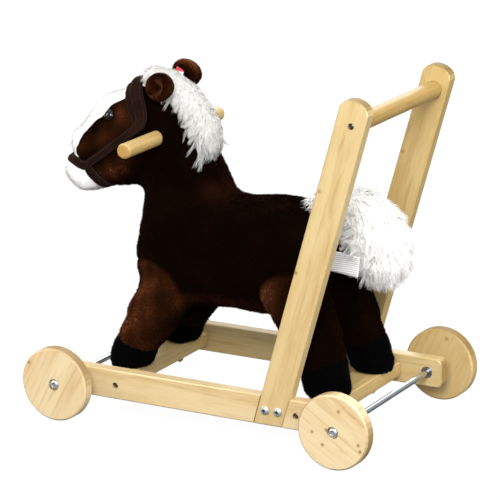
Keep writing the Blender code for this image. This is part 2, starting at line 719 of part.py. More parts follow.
def strap_band(name, path, half_width, closed, mat=None):
    """A flat strap on the head.  path gives (along, angle) pairs down its middle."""
    rings = []
    for along, angle in path:
        ring = []
        for lift, edges in ((STRAP_LIFT[0], (-1, 0, 1)), (STRAP_LIFT[1], (1, 0, -1))):
            for edge in edges:
                here = along + edge * half_width[0]
                turn = angle + edge * half_width[1]
                ring.append(head_point(here, *head_section(here), turn, lift))
        rings.append(ring)
    vertices, faces = skin(rings, closed_ends=not closed)
    if closed:
        count = len(rings[0])
        last = (len(rings) - 1) * count
        for j in range(count):
            k = (j + 1) % count
            faces.append((last + j, last + k, k, j))
    return add_object(name, vertices, outward(vertices, faces), mat)


def noseband_along(angle):
    return 0.103 + 0.016 * math.sin(angle)


def headstall_along(angle):
    return -0.014 - 0.0288 * math.sin(angle)


CHEEK_ANGLE = math.radians(-4)


def bridle():
    """Noseband, headstall over the poll, and a cheek strap on each side."""
    steps = 28
    ring = [(noseband_along(2 * math.pi * i / steps), 2 * math.pi * i / steps) for i in range(steps)]
    band = strap_band("bridle", ring, (0.006, 0.0), True, SUEDE)
    others = []
    over = [CHEEK_ANGLE - 0.25 + (math.pi + 2 * (0.25 - CHEEK_ANGLE)) * i / 16 for i in range(17)]
    others.append(strap_band("part", [(headstall_along(a), a) for a in over], (0.008, 0.0), False))
    for _, sign in SIDES:
        middle = CHEEK_ANGLE if sign > 0 else math.pi - CHEEK_ANGLE
        run = [(0.104 - 0.122 * i / 8, middle) for i in range(9)]
        others.append(strap_band("part", run, (0.0, 0.105), False))
    combine(band, others, "UNION")
    cut(band, solid_from_rings("cutter", path_rings(MANE, GAP)),
        *[ear_shape("cutter", sign, GAP) for _, sign in SIDES])
    shade(band, 50)


def care_label():
    """Sewn into the rump's seam beside the tail, standing out to the rear."""
    return block("care_label", (0.0405, 0.132, 0.222), (0.0413, 0.172, 0.250), LABEL)


# ---------------------------------------------------------------- assembly
def build():
    clear_scene()
    for side, sign in SIDES:
        side_rail(side, sign)
        upright(side, sign)
        button_bolt("handle_bolt_" + side, RAIL_OUTER_X - SUNK_DEPTH + GAP, HANDLE_Y, HANDLE_Z, sign,
                    SUNK_HEAD_RADIUS, 0.004, BOLT_RADIUS, 0.028, 0.002)
        for (y, z), row in zip(LAP_BOLTS, ("front", "rear")):
            button_bolt("lap_bolt_%s_%s" % (side, row), RAIL_OUTER_X + GAP, y, z, sign,
                        0.0054, 0.0032, BOLT_RADIUS, 0.0175, 0.002)
        eye = eye_shape("eye_" + side, sign, 0, EYE_BLACK)
        shade(eye)
        ear = ear_shape("ear_" + side, sign, 0, BROWN_PLUSH)
        shade(ear, 60)
    for end_name, end in ENDS:
        cross_board(end_name, end)
        axle(end_name, end)
        for side, sign in SIDES:
            place = end_name + "_" + side
            button_bolt("board_bolt_" + place, RAIL_OUTER_X - SUNK_DEPTH + GAP, end * BOARD_BOLT_Y,
                        BOARD_BOLT_Z, sign, SUNK_HEAD_RADIUS, 0.004, BOLT_RADIUS, 0.037, 0.002)
            axle_bush(place, sign, end)
            wheel_spacer(place, sign, end)
            wheel(place, sign, end)
            button_bolt("wheel_bolt_" + place, WHEEL_OUTER_X - HUB_RECESS_DEPTH + 2 * GAP,
                        end * AXLE_Y, WHEEL_RADIUS, sign, 0.0069, 0.0042,
                        WHEEL_BOLT_RADIUS, WHEEL_BOLT_LENGTH, 0.002)
            hoof_bolt(place, sign, end)
            leg_post(place, sign, end)
            hoof(place, sign, end)
    handle = turned("handle_dowel", ((HANDLE_RADIUS, -RAIL_INNER_X - HANDLE_SOCKET + GAP),
                                     (HANDLE_RADIUS, RAIL_INNER_X + HANDLE_SOCKET - GAP)),
                    (0, HANDLE_Y, HANDLE_Z), (1, 0, 0), PINE, 32)
    cut(handle, *[x_hole("cutter", HANDLE_Y, HANDLE_Z, BOLT_RADIUS + BORE_CLEARANCE,
                         sign * 0.0935, sign * 0.13) for _, sign in SIDES])
    shade(handle)
    grip = grip_shape("grip_dowel", 0, GRIP_HALF_LENGTH, PINE)
    shade(grip)
    inner_frame()
    plush_body()
    mane = solid_from_rings("mane", path_rings(MANE, 0), WHITE_PLUSH)
    shade(mane, 60)
    tail = solid_from_rings("tail", path_rings(TAIL, 0), WHITE_PLUSH)
    shade(tail, 60)
    bridle()
    care_label()
    for obj in bpy.data.objects:
        obj.location.y += ORIGIN_SHIFT_Y


build()
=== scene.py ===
"""The looks of the push-along plush horse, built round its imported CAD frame.

Timber and steel keep their CAD shapes and get procedural materials.  The horse's
skin, hooves, ears, eyes, mane, tail, bridle and labels are made here: stuffed
shapes by remeshing and a cloth simulation, and all pile as real mesh strands.
"""

import math

import bmesh
import bpy
import numpy as np
from mathutils import Matrix, Vector, kdtree
from mathutils.bvhtree import BVHTree


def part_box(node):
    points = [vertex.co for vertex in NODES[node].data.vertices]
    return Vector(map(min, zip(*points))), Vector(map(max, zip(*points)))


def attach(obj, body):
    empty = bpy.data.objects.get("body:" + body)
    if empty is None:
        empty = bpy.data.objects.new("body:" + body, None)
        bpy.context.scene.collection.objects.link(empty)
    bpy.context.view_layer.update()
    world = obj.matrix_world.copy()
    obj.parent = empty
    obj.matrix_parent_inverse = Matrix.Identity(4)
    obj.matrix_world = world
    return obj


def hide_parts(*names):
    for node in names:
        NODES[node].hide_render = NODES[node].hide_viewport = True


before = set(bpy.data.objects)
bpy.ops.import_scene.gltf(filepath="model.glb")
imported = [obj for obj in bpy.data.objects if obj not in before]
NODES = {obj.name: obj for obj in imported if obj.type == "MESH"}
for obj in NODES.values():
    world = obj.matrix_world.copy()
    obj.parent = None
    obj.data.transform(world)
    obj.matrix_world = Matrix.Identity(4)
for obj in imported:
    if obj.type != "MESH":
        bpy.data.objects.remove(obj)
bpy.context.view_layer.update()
BODY = "frame"
X, Y, Z = (1, 0, 0), (0, 1, 0), (0, 0, 1)
SIDES = (("left", 1), ("right", -1))
PLACES = [(end + "_" + side, sign) for end in ("front", "rear") for side, sign in SIDES]

# The head's axis, from poll to nose, and the sizes of what lies along it.
AXLE_MIDDLE_Y = (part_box("axle_front")[0].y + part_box("axle_rear")[1].y) / 2
HEAD_ORIGIN = Vector((0, AXLE_MIDDLE_Y - 0.150, 0.365))
HEAD_DROP = math.radians(32)
HEAD_AHEAD = Vector((0, -math.cos(HEAD_DROP), -math.sin(HEAD_DROP)))
HEAD_UP = Vector((0, -math.sin(HEAD_DROP), math.cos(HEAD_DROP)))
# The blaze: half its width at distances along the head.
BLAZE_ALONG = (-0.045, -0.011, 0.016, 0.025, 0.036, 0.050, 0.067, 0.076, 0.083, 0.088,
               0.100)
BLAZE_HALF = (0.0200, 0.0256, 0.0278, 0.0299, 0.0330, 0.0315, 0.0290, 0.0290, 0.0322, 0.0350,
              0.0360)
MUZZLE_START = 0.097            # where the white muzzle begins, along the head
CHIN_LEVEL = 0.245              # the heights above which points are on the head,
HEAD_FROM = 0.27                # clear of the chest,
FACE_FROM = 0.30                # and on the face
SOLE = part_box("hoof_front_left")[0].z
PILE_LENGTH = 0.0024
PILE_WIDTH, EAR_PILE_WIDTH = 0.0011, 0.0010
SKIN_STRANDS = 124000
ROOT_DEPTH = 0.0003             # how deep the pile's roots are in the ground
EAR_STRANDS = 7000
MANE_STRANDS = 14000
TAIL_STRANDS = 19500
WISP_STRANDS = 12000
LOCK_WIDTH = (0.0005, 0.0010)
TIP_WIDTH = 0.0008
LOCK_STEPS, LOCK_LAY, LOCK_WAVE = 5, 0.75, 0.10
EAR_HALF_WIDTH, EAR_HALF_HEIGHT, EAR_DEPTH = 0.0215, 0.0195, 0.0105
EYE_RADIUS = 0.0080
SEAM_DEPTH = 0.0014
CLOTH_FRAMES = 18
LABEL_THICKNESS = 0.0004
UPRIGHT_LEAN = math.radians(16.2)
STUDIO_RADIUS = 14.0
# Sewn-on leg panels: (centre y, centre z, half width, half height) of their tops.
FRONT_PANEL = (-0.102, 0.150, 0.050, 0.063)
REAR_PANEL = (0.115, 0.165, 0.053, 0.056)
# A hoof's upper edge is square to its leg: (foot y, height, tilt) front and rear.
HOOF_EDGES = ((-0.136, 0.099, 0.36), (0.150, 0.099, -0.36))

# Colours, linear.
WHITE = (1.0, 1.0, 1.0)
BROWN_DARK = (0.0022, 0.0011, 0.0003)
# The pile's nap brown, also reached by painted sheen, and its painted highlight colour.
BROWN_NAP_AND_PAINTED_SHEEN = (0.078, 0.0215, 0.0080)
BROWN_PAINTED_HIGHLIGHT = (0.230, 0.0760, 0.0330)
BLACK_PILE = (0.0009, 0.0009, 0.0009)
BLACK_NAP = (0.0030, 0.0030, 0.0030)
WHITE_PILE = (0.76, 0.755, 0.735)
WHITE_SHADE = (0.80, 0.79, 0.77)


# ------------------------------------------------------------- node helpers
class Shader:
    """A material with one Principled BSDF, and a short way to add nodes to it."""

    def __init__(self, name, **constants):
        self.material = bpy.data.materials.new(name)
        self.material.use_nodes = True
        self.tree = self.material.node_tree
        self.surface = self.tree.nodes["Principled BSDF"]
        for socket, value in constants.items():
            self.surface.inputs[socket.replace("_", " ")].default_value = value

    def add(self, kind, inputs=(), **settings):
        made = self.tree.nodes.new("ShaderNode" + kind)
        for name, value in settings.items():
            setattr(made, name, value)
        for socket, value in dict(inputs).items():
            self.join(made.inputs[socket], value)
        return made

    def join(self, socket, value):
        if isinstance(value, bpy.types.NodeSocket):
            self.tree.links.new(value, socket)
        else:
            socket.default_value = value

    def feed(self, socket, value):
        self.join(self.surface.inputs[socket], value)

    def ramp(self, factor, stops):
        """A colour ramp through (position, grey or colour) stops."""
        made = self.add("ValToRGB", {"Fac": factor})
        elements = made.color_ramp.elements
        while len(elements) < len(stops):
            elements.new(0.5)
        for element, (position, colour) in zip(elements, stops):
            element.position = position
            shade = colour if isinstance(colour, tuple) else (colour,) * 3
            element.color = (*shade, 1.0)
        return made.outputs["Color"]

    def mix(self, factor, first, second, blend="MIX"):
        made = self.add("Mix", data_type="RGBA", blend_type=blend)
        self.join(made.inputs["Factor"], factor)
        for socket, value in ((made.inputs[6], first), (made.inputs[7], second)):
            self.join(socket, (*value, 1.0) if isinstance(value, tuple) else value)
        return made.outputs[2]

    def math(self, operation, first, second=0.0):
        return self.add("Math", {0: first, 1: second}, operation=operation).outputs[0]

    def mapped(self, vector, **mapping):
        return self.add("Mapping", {"Vector": vector, **mapping}).outputs["Vector"]

    def places(self, **mapping):
        """Object coordinates, in metres."""
        return self.mapped(self.add("TexCoord").outputs["Object"], **mapping)

    def noise(self, vector, scale, detail=2.0, roughness=0.5, distortion=0.0):
        inputs = {"Vector": vector, "Scale": scale, "Detail": detail, "Roughness": roughness,
                  "Distortion": distortion}
        return self.add("TexNoise", inputs).outputs["Fac"]

    def attribute(self, name):
        return self.add("Attribute", attribute_name=name).outputs["Fac"]

    def bump(self, height, strength, distance):
        made = self.add("Bump", {"Height": height, "Strength": strength, "Distance": distance})
        self.feed("Normal", made.outputs["Normal"])


# ---------------------------------------------------------------- materials
def scaled(colour, factor):
    return tuple(part * factor for part in colour)


def wood(name, grain, through, pith, tone=1.0, knots=0.0, ends=0.75):
    """Planed pine.  grain is its fibre direction, through the way its knots run, pith a
    point on the log's centre line, tone how pale it is, with painted shade on some pieces,
    knots how many in a metre, and ends the shade of its end grain."""
    light = (0.62 * tone, 0.485 * tone ** 1.3, 0.272 * tone ** 2.6)
    dark = (0.44 * tone, 0.285 * tone ** 1.3, 0.112 * tone ** 2.6)
    shader = Shader(name, Coat_Roughness=0.28)
    turn = Vector(grain).rotation_difference(Vector(X)).to_euler()
    fibre = shader.places(Rotation=turn)
    centre = Vector(pith)
    centre.rotate(turn)

    def drawn_out(vector, stretch):
        return shader.mapped(vector, Scale=(stretch, 1, 1))

    about_pith = shader.mapped(fibre, Location=(0, -centre.y, -centre.z))
    rings = shader.add("TexWave", {"Vector": drawn_out(about_pith, 0.07), "Scale": 52.0,
                                   "Distortion": 9.0, "Detail": 3.0, "Detail Scale": 0.5,
                                   "Detail Roughness": 0.55},
                       wave_type="RINGS", rings_direction="X", wave_profile="SAW").outputs["Fac"]
    late = shader.ramp(rings, [(0.0, 0.0), (0.55, 0.10), (0.90, 0.75), (1.0, 0.15)])
    threads = shader.noise(drawn_out(fibre, 0.02), 1500.0, 3.0, 0.6)
    cloud = shader.noise(drawn_out(fibre, 0.2), 30.0)
    figure = shader.noise(drawn_out(fibre, 0.12), 110.0, 3.0, 0.6, 1.2)
    strength = shader.ramp(figure, [(0.35, 0.12), (0.68, 0.80)])
    colour = shader.mix(shader.math("MULTIPLY", late, strength), light, dark)
    colour = shader.mix(shader.ramp(figure, [(0.50, 0.0), (0.72, 0.30)]), colour, dark)
    streaks = shader.ramp(threads, [(0.30, 0.80), (0.55, 1.0)])
    colour = shader.mix(0.55, colour, streaks, "MULTIPLY")
    blotches = shader.ramp(cloud, [(0.32, (0.90, 0.81, 0.68)), (0.60, WHITE)])
    colour = shader.mix(0.8, colour, blotches, "MULTIPLY")
    if knots:
        across = Vector(through).rotation_difference(Vector(Z)).to_euler()
        spots = shader.add("TexVoronoi", {"Vector": shader.places(Rotation=across),
                                          "Scale": knots, "Randomness": 1.0},
                           voronoi_dimensions="2D").outputs["Distance"]
        wobble = shader.math("MULTIPLY", shader.noise(shader.places(), 240.0), 0.03)
        size, least = 0.0017 * knots, 0.015
        knot = shader.ramp(shader.math("ADD", spots, wobble), [
            (least + 0.6 * size, 0.95), (least + size, 0.5), (least + 2.2 * size, 0.0)])
        colour = shader.mix(knot, colour, (0.24, 0.115, 0.045))
    # End grain is darker, redder and more matt than the planed faces.
    facing = shader.add("VectorMath", {0: shader.add("TexCoord").outputs["Normal"],
                                       1: Vector(grain).normalized()},
                        operation="DOT_PRODUCT").outputs["Value"]
    end = shader.ramp(shader.math("ABSOLUTE", facing), [(0.40, 0.0), (0.85, 0.90)])
    planed = shader.math("SUBTRACT", 1.0, end)
    shader.feed("Base Color", shader.mix(end, colour, scaled(dark, ends)))
    shader.feed("Specular IOR Level", shader.math("MULTIPLY", planed, 0.5))
    shader.feed("Coat Weight", shader.math("MULTIPLY", planed, 0.12))
    shader.feed("Roughness", shader.ramp(threads, [(0.2, 0.50), (0.8, 0.36)]))
    relief = shader.math("ADD", shader.math("MULTIPLY", threads, 0.6),
                         shader.math("MULTIPLY", late, 0.4))
    shader.bump(relief, 0.30, 0.00025)
    return shader.material


def steel(name, colour, roughness):
    """Bright plate with faint turning marks."""
    shader = Shader(name, Metallic=1.0)
    marks = shader.noise(shader.places(Scale=(1.0, 0.15, 0.15)), 2600.0)
    low, high = roughness
    shader.feed("Roughness", shader.ramp(marks, [(0.3, low), (0.7, high)]))
    cloud = shader.noise(shader.places(), 90.0)
    shader.feed("Base Color", shader.ramp(cloud, [(0.35, colour), (0.7, scaled(colour, 0.88))]))
    shader.bump(marks, 0.08, 0.0001)
    return shader.material


def speckled(name, scale, detail, stops, bump=None, roughness=None, **constants):
    """Colour that follows fine noise, and with bump (strength, distance) its relief."""
    shader = Shader(name, **constants)
    grain = shader.noise(shader.places(), scale, detail)
    shader.feed("Base Color", shader.ramp(grain, stops))
    if roughness:
        shader.feed("Roughness", shader.ramp(grain, [(0.3, roughness), (0.7, roughness * 1.25)]))
    if bump:
        shader.bump(grain, *bump)
    return shader.material


def moulded(name, dark, light, roughness):
    """Moulded plastic with a fine texture."""
    return speckled(name, 1800.0, 2.0, [(0.3, dark), (0.7, light)], (0.15, 0.0001), roughness)


def gloss_eye():
    return speckled("eye_gloss", 260.0, 2.0,
                    [(0.35, (0.0015, 0.0013, 0.0013)), (0.75, (0.006, 0.005, 0.0045))],
                    Roughness=0.06, IOR=1.45)


def plush_ground(name, dark, nap, sheen_tint, patterned=False):
    """The woven ground under the pile.  On the skin the nap's painted sheen highlights and the
    white muzzle and blaze come from the mesh's own attributes."""
    shader = Shader(name, Roughness=1.0, Sheen_Weight=0.02, Sheen_Roughness=0.5,
                    Sheen_Tint=(*sheen_tint, 1.0), Specular_IOR_Level=0.0)
    fuzz = shader.noise(shader.places(), 1100.0)
    if patterned:
        # On the skin these are painted sheen highlights; elsewhere random brushed patches.
        brushed_and_painted_sheen = shader.attribute("nap")
    else:
        brushed_and_painted_sheen = shader.ramp(shader.noise(shader.places(), 60.0), [(0.45, 0.0), (0.75, 0.6)])
    colour = shader.mix(brushed_and_painted_sheen, shader.mix(fuzz, scaled(dark, 0.5), dark), scaled(nap, 0.6))
    if patterned:
        white = shader.math("GREATER_THAN", shader.attribute("white"))
        colour = shader.mix(white, colour, WHITE_SHADE)
    shader.feed("Base Color", colour)
    shader.bump(fuzz, 0.6, 0.0010)
    return shader.material


def pile_strands(name, stops, painted_root_shade, sheen_tint, sheen=0.1):
    """Strand colour: hue along u, with painted shade darker towards the root, which is v = 0."""
    shader = Shader(name, Roughness=0.9, Sheen_Weight=sheen, Sheen_Roughness=0.45,
                    Sheen_Tint=(*sheen_tint, 1.0), Specular_IOR_Level=0.0)
    uv = shader.add("UVMap", uv_map="OFBake").outputs["UV"]
    parts = shader.add("SeparateXYZ", {"Vector": uv})
    hue = shader.ramp(parts.outputs["X"], stops)
    # Painted shade: the strands darken towards their roots.
    depth = shader.ramp(parts.outputs["Y"], [(0.0, painted_root_shade), (0.45, WHITE)])
    shader.feed("Base Color", shader.mix(1.0, hue, depth, "MULTIPLY"))
    return shader.material


def suede():
    shader = Shader("brown_suede", Roughness=0.9, Sheen_Weight=0.06, Sheen_Roughness=0.5,
                    Sheen_Tint=(0.55, 0.36, 0.28, 1.0), Specular_IOR_Level=0.0)
    nap = shader.noise(shader.places(), 420.0, 4.0, 0.65)
    cloud = shader.noise(shader.places(), 45.0)
    colour = shader.ramp(nap, [(0.25, (0.0065, 0.0028, 0.0020)), (0.75, (0.0190, 0.0078, 0.0052))])
    worn = shader.ramp(cloud, [(0.4, 0.8), (0.7, (1.25, 1.2, 1.2))])
    shader.feed("Base Color", shader.mix(1.0, colour, worn, "MULTIPLY"))
    shader.bump(nap, 0.5, 0.0006)
    return shader.material


def suede_edge():
    """The raw cut edge of the suede, paler than its face."""
    return speckled("suede_edge", 900.0, 3.0,
                    [(0.3, (0.012, 0.0062, 0.0044)), (0.7, (0.030, 0.016, 0.012))],
                    (0.4, 0.0004), Roughness=0.95)


def satin(name, colour, band=None, lines=0.0):
    """Woven satin.  band is (from z, colour): the label is that colour above z.
    lines is how far its plain woven lines darken it."""
    shader = Shader(name, Roughness=0.5, Sheen_Weight=0.2)
    weave = shader.add("TexWave", {"Vector": shader.places(), "Scale": 700.0, "Distortion": 0.6},
                       bands_direction="DIAGONAL").outputs["Fac"]
    base = shader.ramp(weave, [(0.2, scaled(colour, 0.86)), (0.8, colour)])
    if lines:
        rows = shader.add("TexWave", {"Vector": shader.places(), "Scale": 115.0},
                          bands_direction="Z").outputs["Fac"]
        woven = shader.ramp(rows, [(0.45, lines), (0.6, 0.0)])
        base = shader.mix(woven, base, (0.16, 0.16, 0.17))
    if band:
        height = shader.add("SeparateXYZ", {"Vector": shader.places()}).outputs["Z"]
        base = shader.mix(shader.math("GREATER_THAN", height, band[0]), base, band[1])
    shader.feed("Base Color", base)
    shader.bump(weave, 0.2, 0.0002)
    return shader.material


def lit_white(name, glow, albedo):
    """A studio white that is mostly its own light, so shadows on it stay faint."""
    return speckled(name, 3.0, 2.0, [(0.3, albedo * 0.98), (0.7, albedo)], Roughness=1.0,
                    Specular_IOR_Level=0.0, Emission_Strength=glow, Emission_Color=(1, 1, 1, 1))


# ------------------------------------------------------------- mesh helpers
def link(name, mesh):
    piece = bpy.data.objects.new(name, mesh)
    bpy.context.scene.collection.objects.link(piece)
    return piece


def from_arrays(name, points, loops, loop_starts, loop_totals):
    mesh = bpy.data.meshes.new(name)
    mesh.vertices.add(len(points))
    mesh.vertices.foreach_set("co", points.astype(np.float32).ravel())
    mesh.loops.add(len(loops))
    mesh.loops.foreach_set("vertex_index", loops.astype(np.int32))
    mesh.polygons.add(len(loop_starts))
    mesh.polygons.foreach_set("loop_start", loop_starts.astype(np.int32))
    mesh.polygons.foreach_set("loop_total", loop_totals.astype(np.int32))
    mesh.update(calc_edges=True)
    mesh.validate()
    return mesh


def piece_from(build, name, *materials, sharp=None):
    """A smooth-shaded object from a bmesh.  sharp is the angle, in degrees, of its creases."""
    mesh = bpy.data.meshes.new(name)
    build.to_mesh(mesh)
    build.free()
    for material in materials:
        mesh.materials.append(material)
    mesh.shade_smooth()
    if sharp:
        mesh.set_sharp_from_angle(angle=math.radians(sharp))
    return link(name, mesh)


def ball(around, high, radius):
    """A sphere with its poles on Z.  Its faces always come in the same order, which the
    places of the pile scattered on it depend on."""
    build = bmesh.new()
    turns = [2 * math.pi * i / around for i in range(around)]
    tilts = [math.pi * i / high for i in range(1, high)]
    rings = [[Vector((math.sin(tilt) * math.cos(turn), math.sin(tilt) * math.sin(turn),
                      math.cos(tilt))) * radius for turn in turns] for tilt in tilts]
    verts, _ = tube(build, rings)
    for ring, pole in ((verts[0], radius), (verts[-1], -radius)):
        tip = build.verts.new((0, 0, pole))
        for i in range(around):
            build.faces.new([ring[i], ring[(i + 1) % around], tip])
    bmesh.ops.recalc_face_normals(build, faces=build.faces)
    return build


def read(items, attribute, kind=np.float32, width=3):
    """An attribute of each of a mesh's items, as the rows of an array."""
    values = np.empty(len(items) * width, kind)
    items.foreach_get(attribute, values)
    return values.reshape(-1, width)


def points_of(mesh):
    return read(mesh.vertices, "co").astype(float)


def normals_of(mesh):
    return read(mesh.vertex_normals, "vector").astype(float)


def set_points(mesh, points):
    mesh.vertices.foreach_set("co", points.astype(np.float32).ravel())
    mesh.update()


def apply_modifiers(piece):
    graph = bpy.context.evaluated_depsgraph_get()
    graph.update()
    mesh = bpy.data.meshes.new_from_object(piece.evaluated_get(graph))
    piece.modifiers.clear()
    piece.data = mesh


def modify(piece, kind, **settings):
    modifier = piece.modifiers.new(kind.title(), kind)
    for name, value in settings.items():
        setattr(modifier, name, value)
    apply_modifiers(piece)


def tree_of(mesh):
    return BVHTree.FromPolygons([v.co for v in mesh.vertices], [p.vertices for p in mesh.polygons])


def joined_copy(name, nodes, plug=None):
    """One mesh object from copies of CAD nodes.  plug adds one more closed shape to it."""
    build = bmesh.new()
    for node in nodes:
        build.from_mesh(NODES[node].data)
    if plug:
        plug(build)
    bmesh.ops.remove_doubles(build, verts=build.verts, dist=1e-6)
    return piece_from(build, name)


def remesh(piece, voxel):
    modify(piece, "REMESH", mode="VOXEL", voxel_size=voxel, use_smooth_shade=True)


def swell(piece, distance):
    mesh = piece.data
    set_points(mesh, points_of(mesh) + distance * normals_of(mesh))


def smooth(piece, iterations, factor=0.5):
    modify(piece, "SMOOTH", iterations=iterations, factor=factor)


def fillet_creases(piece, radius, voxel):
    """Round every concave crease: grow, remesh what merges, and shrink back."""
    swell(piece, radius)
    remesh(piece, voxel)
    smooth(piece, 4)
    swell(piece, -radius)
    remesh(piece, voxel)


def drop_inside(piece):
    """Keeps only the largest connected shell of a closed mesh."""
    build = bmesh.new()
    build.from_mesh(piece.data)
    left = set(build.verts)
    shells = []
    while left:
        stack = [left.pop()]
        shell = set(stack)
        while stack:
            for edge in stack.pop().link_edges:
                found = left.intersection(edge.verts)
                left -= found
                shell |= found
                stack.extend(found)
        shells.append(shell)
    shells.sort(key=len)
    for shell in shells[:-1]:
        bmesh.ops.delete(build, geom=list(shell), context="VERTS")
    build.to_mesh(piece.data)
    build.free()


def inflate(piece, pinned, pressure, cap):
    """Cloth simulation under pressure, with the seams pinned and the swelling capped."""
    start = points_of(piece.data)
    group = piece.vertex_groups.new(name="pin")
    for index, weight in enumerate(pinned):
        group.add([index], float(weight), "REPLACE")
    cloth = piece.modifiers.new("Cloth", "CLOTH")
    for name, value in {"quality": 4, "mass": 0.3, "tension_stiffness": 12,
                        "compression_stiffness": 12, "bending_stiffness": 0.4,
                        "use_pressure": True, "uniform_pressure_force": pressure,
                        "vertex_group_mass": "pin"}.items():
        setattr(cloth.settings, name, value)
    cloth.settings.effector_weights.gravity = 0.0
    cloth.point_cache.frame_start = 1
    cloth.point_cache.frame_end = CLOTH_FRAMES
    scene = bpy.context.scene
    for number in range(1, CLOTH_FRAMES + 1):
        scene.frame_set(number)
    apply_modifiers(piece)
    scene.frame_set(1)
    piece.vertex_groups.clear()
    moved = points_of(piece.data) - start
    size = np.linalg.norm(moved, axis=1, keepdims=True)
    set_points(piece.data, start + moved * np.minimum(1.0, cap / np.maximum(size, 1e-9)))


def finish_piece(piece, material=None, replaces=()):
    """Paints a piece and fixes it to the body that every made piece rides on."""
    if material:
        piece.data.materials.clear()
        piece.data.materials.append(material)
    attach(piece, BODY)
    if replaces:
        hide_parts(*replaces)


# ------------------------------------------------------------------ strands
def scatter(mesh, count, rng):
    """Random places on a mesh: points and smooth normals."""
    mesh.calc_loop_triangles()
    corners = read(mesh.loop_triangles, "vertices", np.int32)
    points, normals = points_of(mesh), normals_of(mesh)
    a, b, c = (points[corners[:, i]] for i in range(3))
    areas = np.linalg.norm(np.cross(b - a, c - a), axis=1)
    chosen = rng.choice(len(corners), count, p=areas / areas.sum())
    u, v = rng.random(count), rng.random(count)
    fold = u + v > 1
    u[fold], v[fold] = 1 - u[fold], 1 - v[fold]
    weights = np.stack([1 - u - v, u, v], axis=1)[:, :, None]
    roots, away = ((values[corners[chosen]] * weights).sum(1) for values in (points, normals))
    return roots, unit(away)


def unit(vectors):
    return vectors / np.maximum(np.linalg.norm(vectors, axis=-1, keepdims=True), 1e-12)


def flat_on(vectors, normals):
    """The vectors' parts along the surface."""
    return unit(vectors - (vectors * normals).sum(1, keepdims=True) * normals)


def strands(name, points, faces, levels, hue, away):
    """One mesh of like strands.  points is (strand, point, xyz), faces are those of one
    strand, and levels the height of each of its face corners, from root 0 to tip 1."""
    count, per = points.shape[:2]
    corners = np.array([corner for face in faces for corner in face])
    loops = (np.arange(count)[:, None] * per + corners).ravel()
    sizes = np.tile([len(face) for face in faces], count)
    mesh = from_arrays(name, points.reshape(-1, 3), loops, np.cumsum(sizes) - sizes, sizes)
    uv = np.stack([np.repeat(hue, len(corners)), np.tile(levels, count)], axis=1)
    layer = mesh.uv_layers.new(name="OFBake")
    layer.data.foreach_set("uv", np.clip(uv, 0.02, 0.98).astype(np.float32).ravel())
    # Dense pile looks shaded mostly as the surface that it grows from.
    own = np.repeat(read(mesh.polygons, "normal"), sizes, axis=0)
    shading = unit(np.repeat(away, len(corners), axis=0) * 0.85 + own * 0.35)
    mesh.normals_split_custom_set(shading.tolist())
    return link(name, mesh)


def blades(name, roots, away, comb, length, width, rng, hue):
    """One leaning triangle for each root: short pile."""
    side = unit(np.cross(comb, away) + 0.25 * rng.normal(size=roots.shape))
    foot = roots - away * ROOT_DEPTH
    half = side * width / 2
    tips = roots + (away + comb) * (length * 0.75)[:, None]
    points = np.stack([foot - half, foot + half, tips], axis=1)
    return strands(name, points, [[0, 1, 2]], [0.0, 0.0, 1.0], hue, away)


def locks(name, roots, away, comb, length, width, rng, clumps, pull):
    """Long strands that leave along the normal, bend over along comb, and gather in clumps."""
    count, steps = len(roots), LOCK_STEPS
    centres = rng.choice(count, clumps, replace=False)
    tree = kdtree.KDTree(clumps)
    for i, index in enumerate(centres):
        tree.insert(roots[index], i)
    tree.balance()
    nearest = np.array([tree.find(root)[1] for root in roots])
    clump_comb = unit(comb[centres] + rng.normal(size=(clumps, 3)) * 0.22)
    clump_length = length[centres] * rng.uniform(0.8, 1.2, clumps)

    def curve(start, normal, flow, size, t):
        rise = size[:, None] * (t - LOCK_LAY * t ** 2) * 0.75
        run = size[:, None] * (0.25 * t + LOCK_LAY * 0.75 * t ** 2)
        return start + normal * rise + flow * run

    phase = rng.random(count) * 2 * math.pi
    swing = unit(np.cross(comb, away) + 0.1)
    levels = []
    for t in np.arange(steps + 1) / steps:
        alone = curve(roots, away, comb, length, t)
        clumped = curve(roots[centres], away[centres], clump_comb, clump_length, t)[nearest]
        gather = pull * t ** 1.3
        place = alone * (1 - gather) + clumped * gather
        levels.append(place + swing * (LOCK_WAVE * length * t * np.sin(5.5 * t + phase))[:, None])
    levels = np.stack(levels, axis=1)
    along = unit(np.gradient(levels, axis=1))
    side = unit(np.cross(along, away[:, None, :]) + 0.35 * rng.normal(size=(count, 1, 3)))
    taper = 1 - (np.arange(steps) / steps) ** 2.2
    half = side[:, :steps] * (width[:, None, None] * taper[None, :, None] / 2)
    points = np.concatenate([levels[:, :steps] - half, levels[:, :steps] + half,
                             levels[:, steps:]], axis=1)
    tip = 2 * steps
    faces = [[step, steps + step, steps + step + 1, step + 1] for step in range(steps - 1)]
    faces.append([steps - 1, tip - 1, tip])
    heights = [1.0 if corner == tip else (corner % steps) / steps
               for face in faces for corner in face]
    hue = 0.5 + 0.2 * rng.normal(size=count) + 0.12 * rng.normal(size=clumps)[nearest]
    return strands(name, points, faces, heights, hue, away)


# --------------------------------------------------------- the coat's pattern
def head_places(points):
    """(along, up) of points in the head's own axes."""
    offset = points - np.array(HEAD_ORIGIN)
    return offset @ np.array(HEAD_AHEAD), offset @ np.array(HEAD_UP)


def ripple(points, size, seed):
    """Smooth random waves about this size, near zero mean and unit spread."""
    rng = np.random.default_rng(seed)
    ways = unit(rng.normal(size=(9, 3))) * (2 * math.pi / size) * rng.uniform(0.6, 1.5, (9, 1))
    return np.sin(points @ ways.T + rng.random(9) * 6.3).sum(1) / 2.1


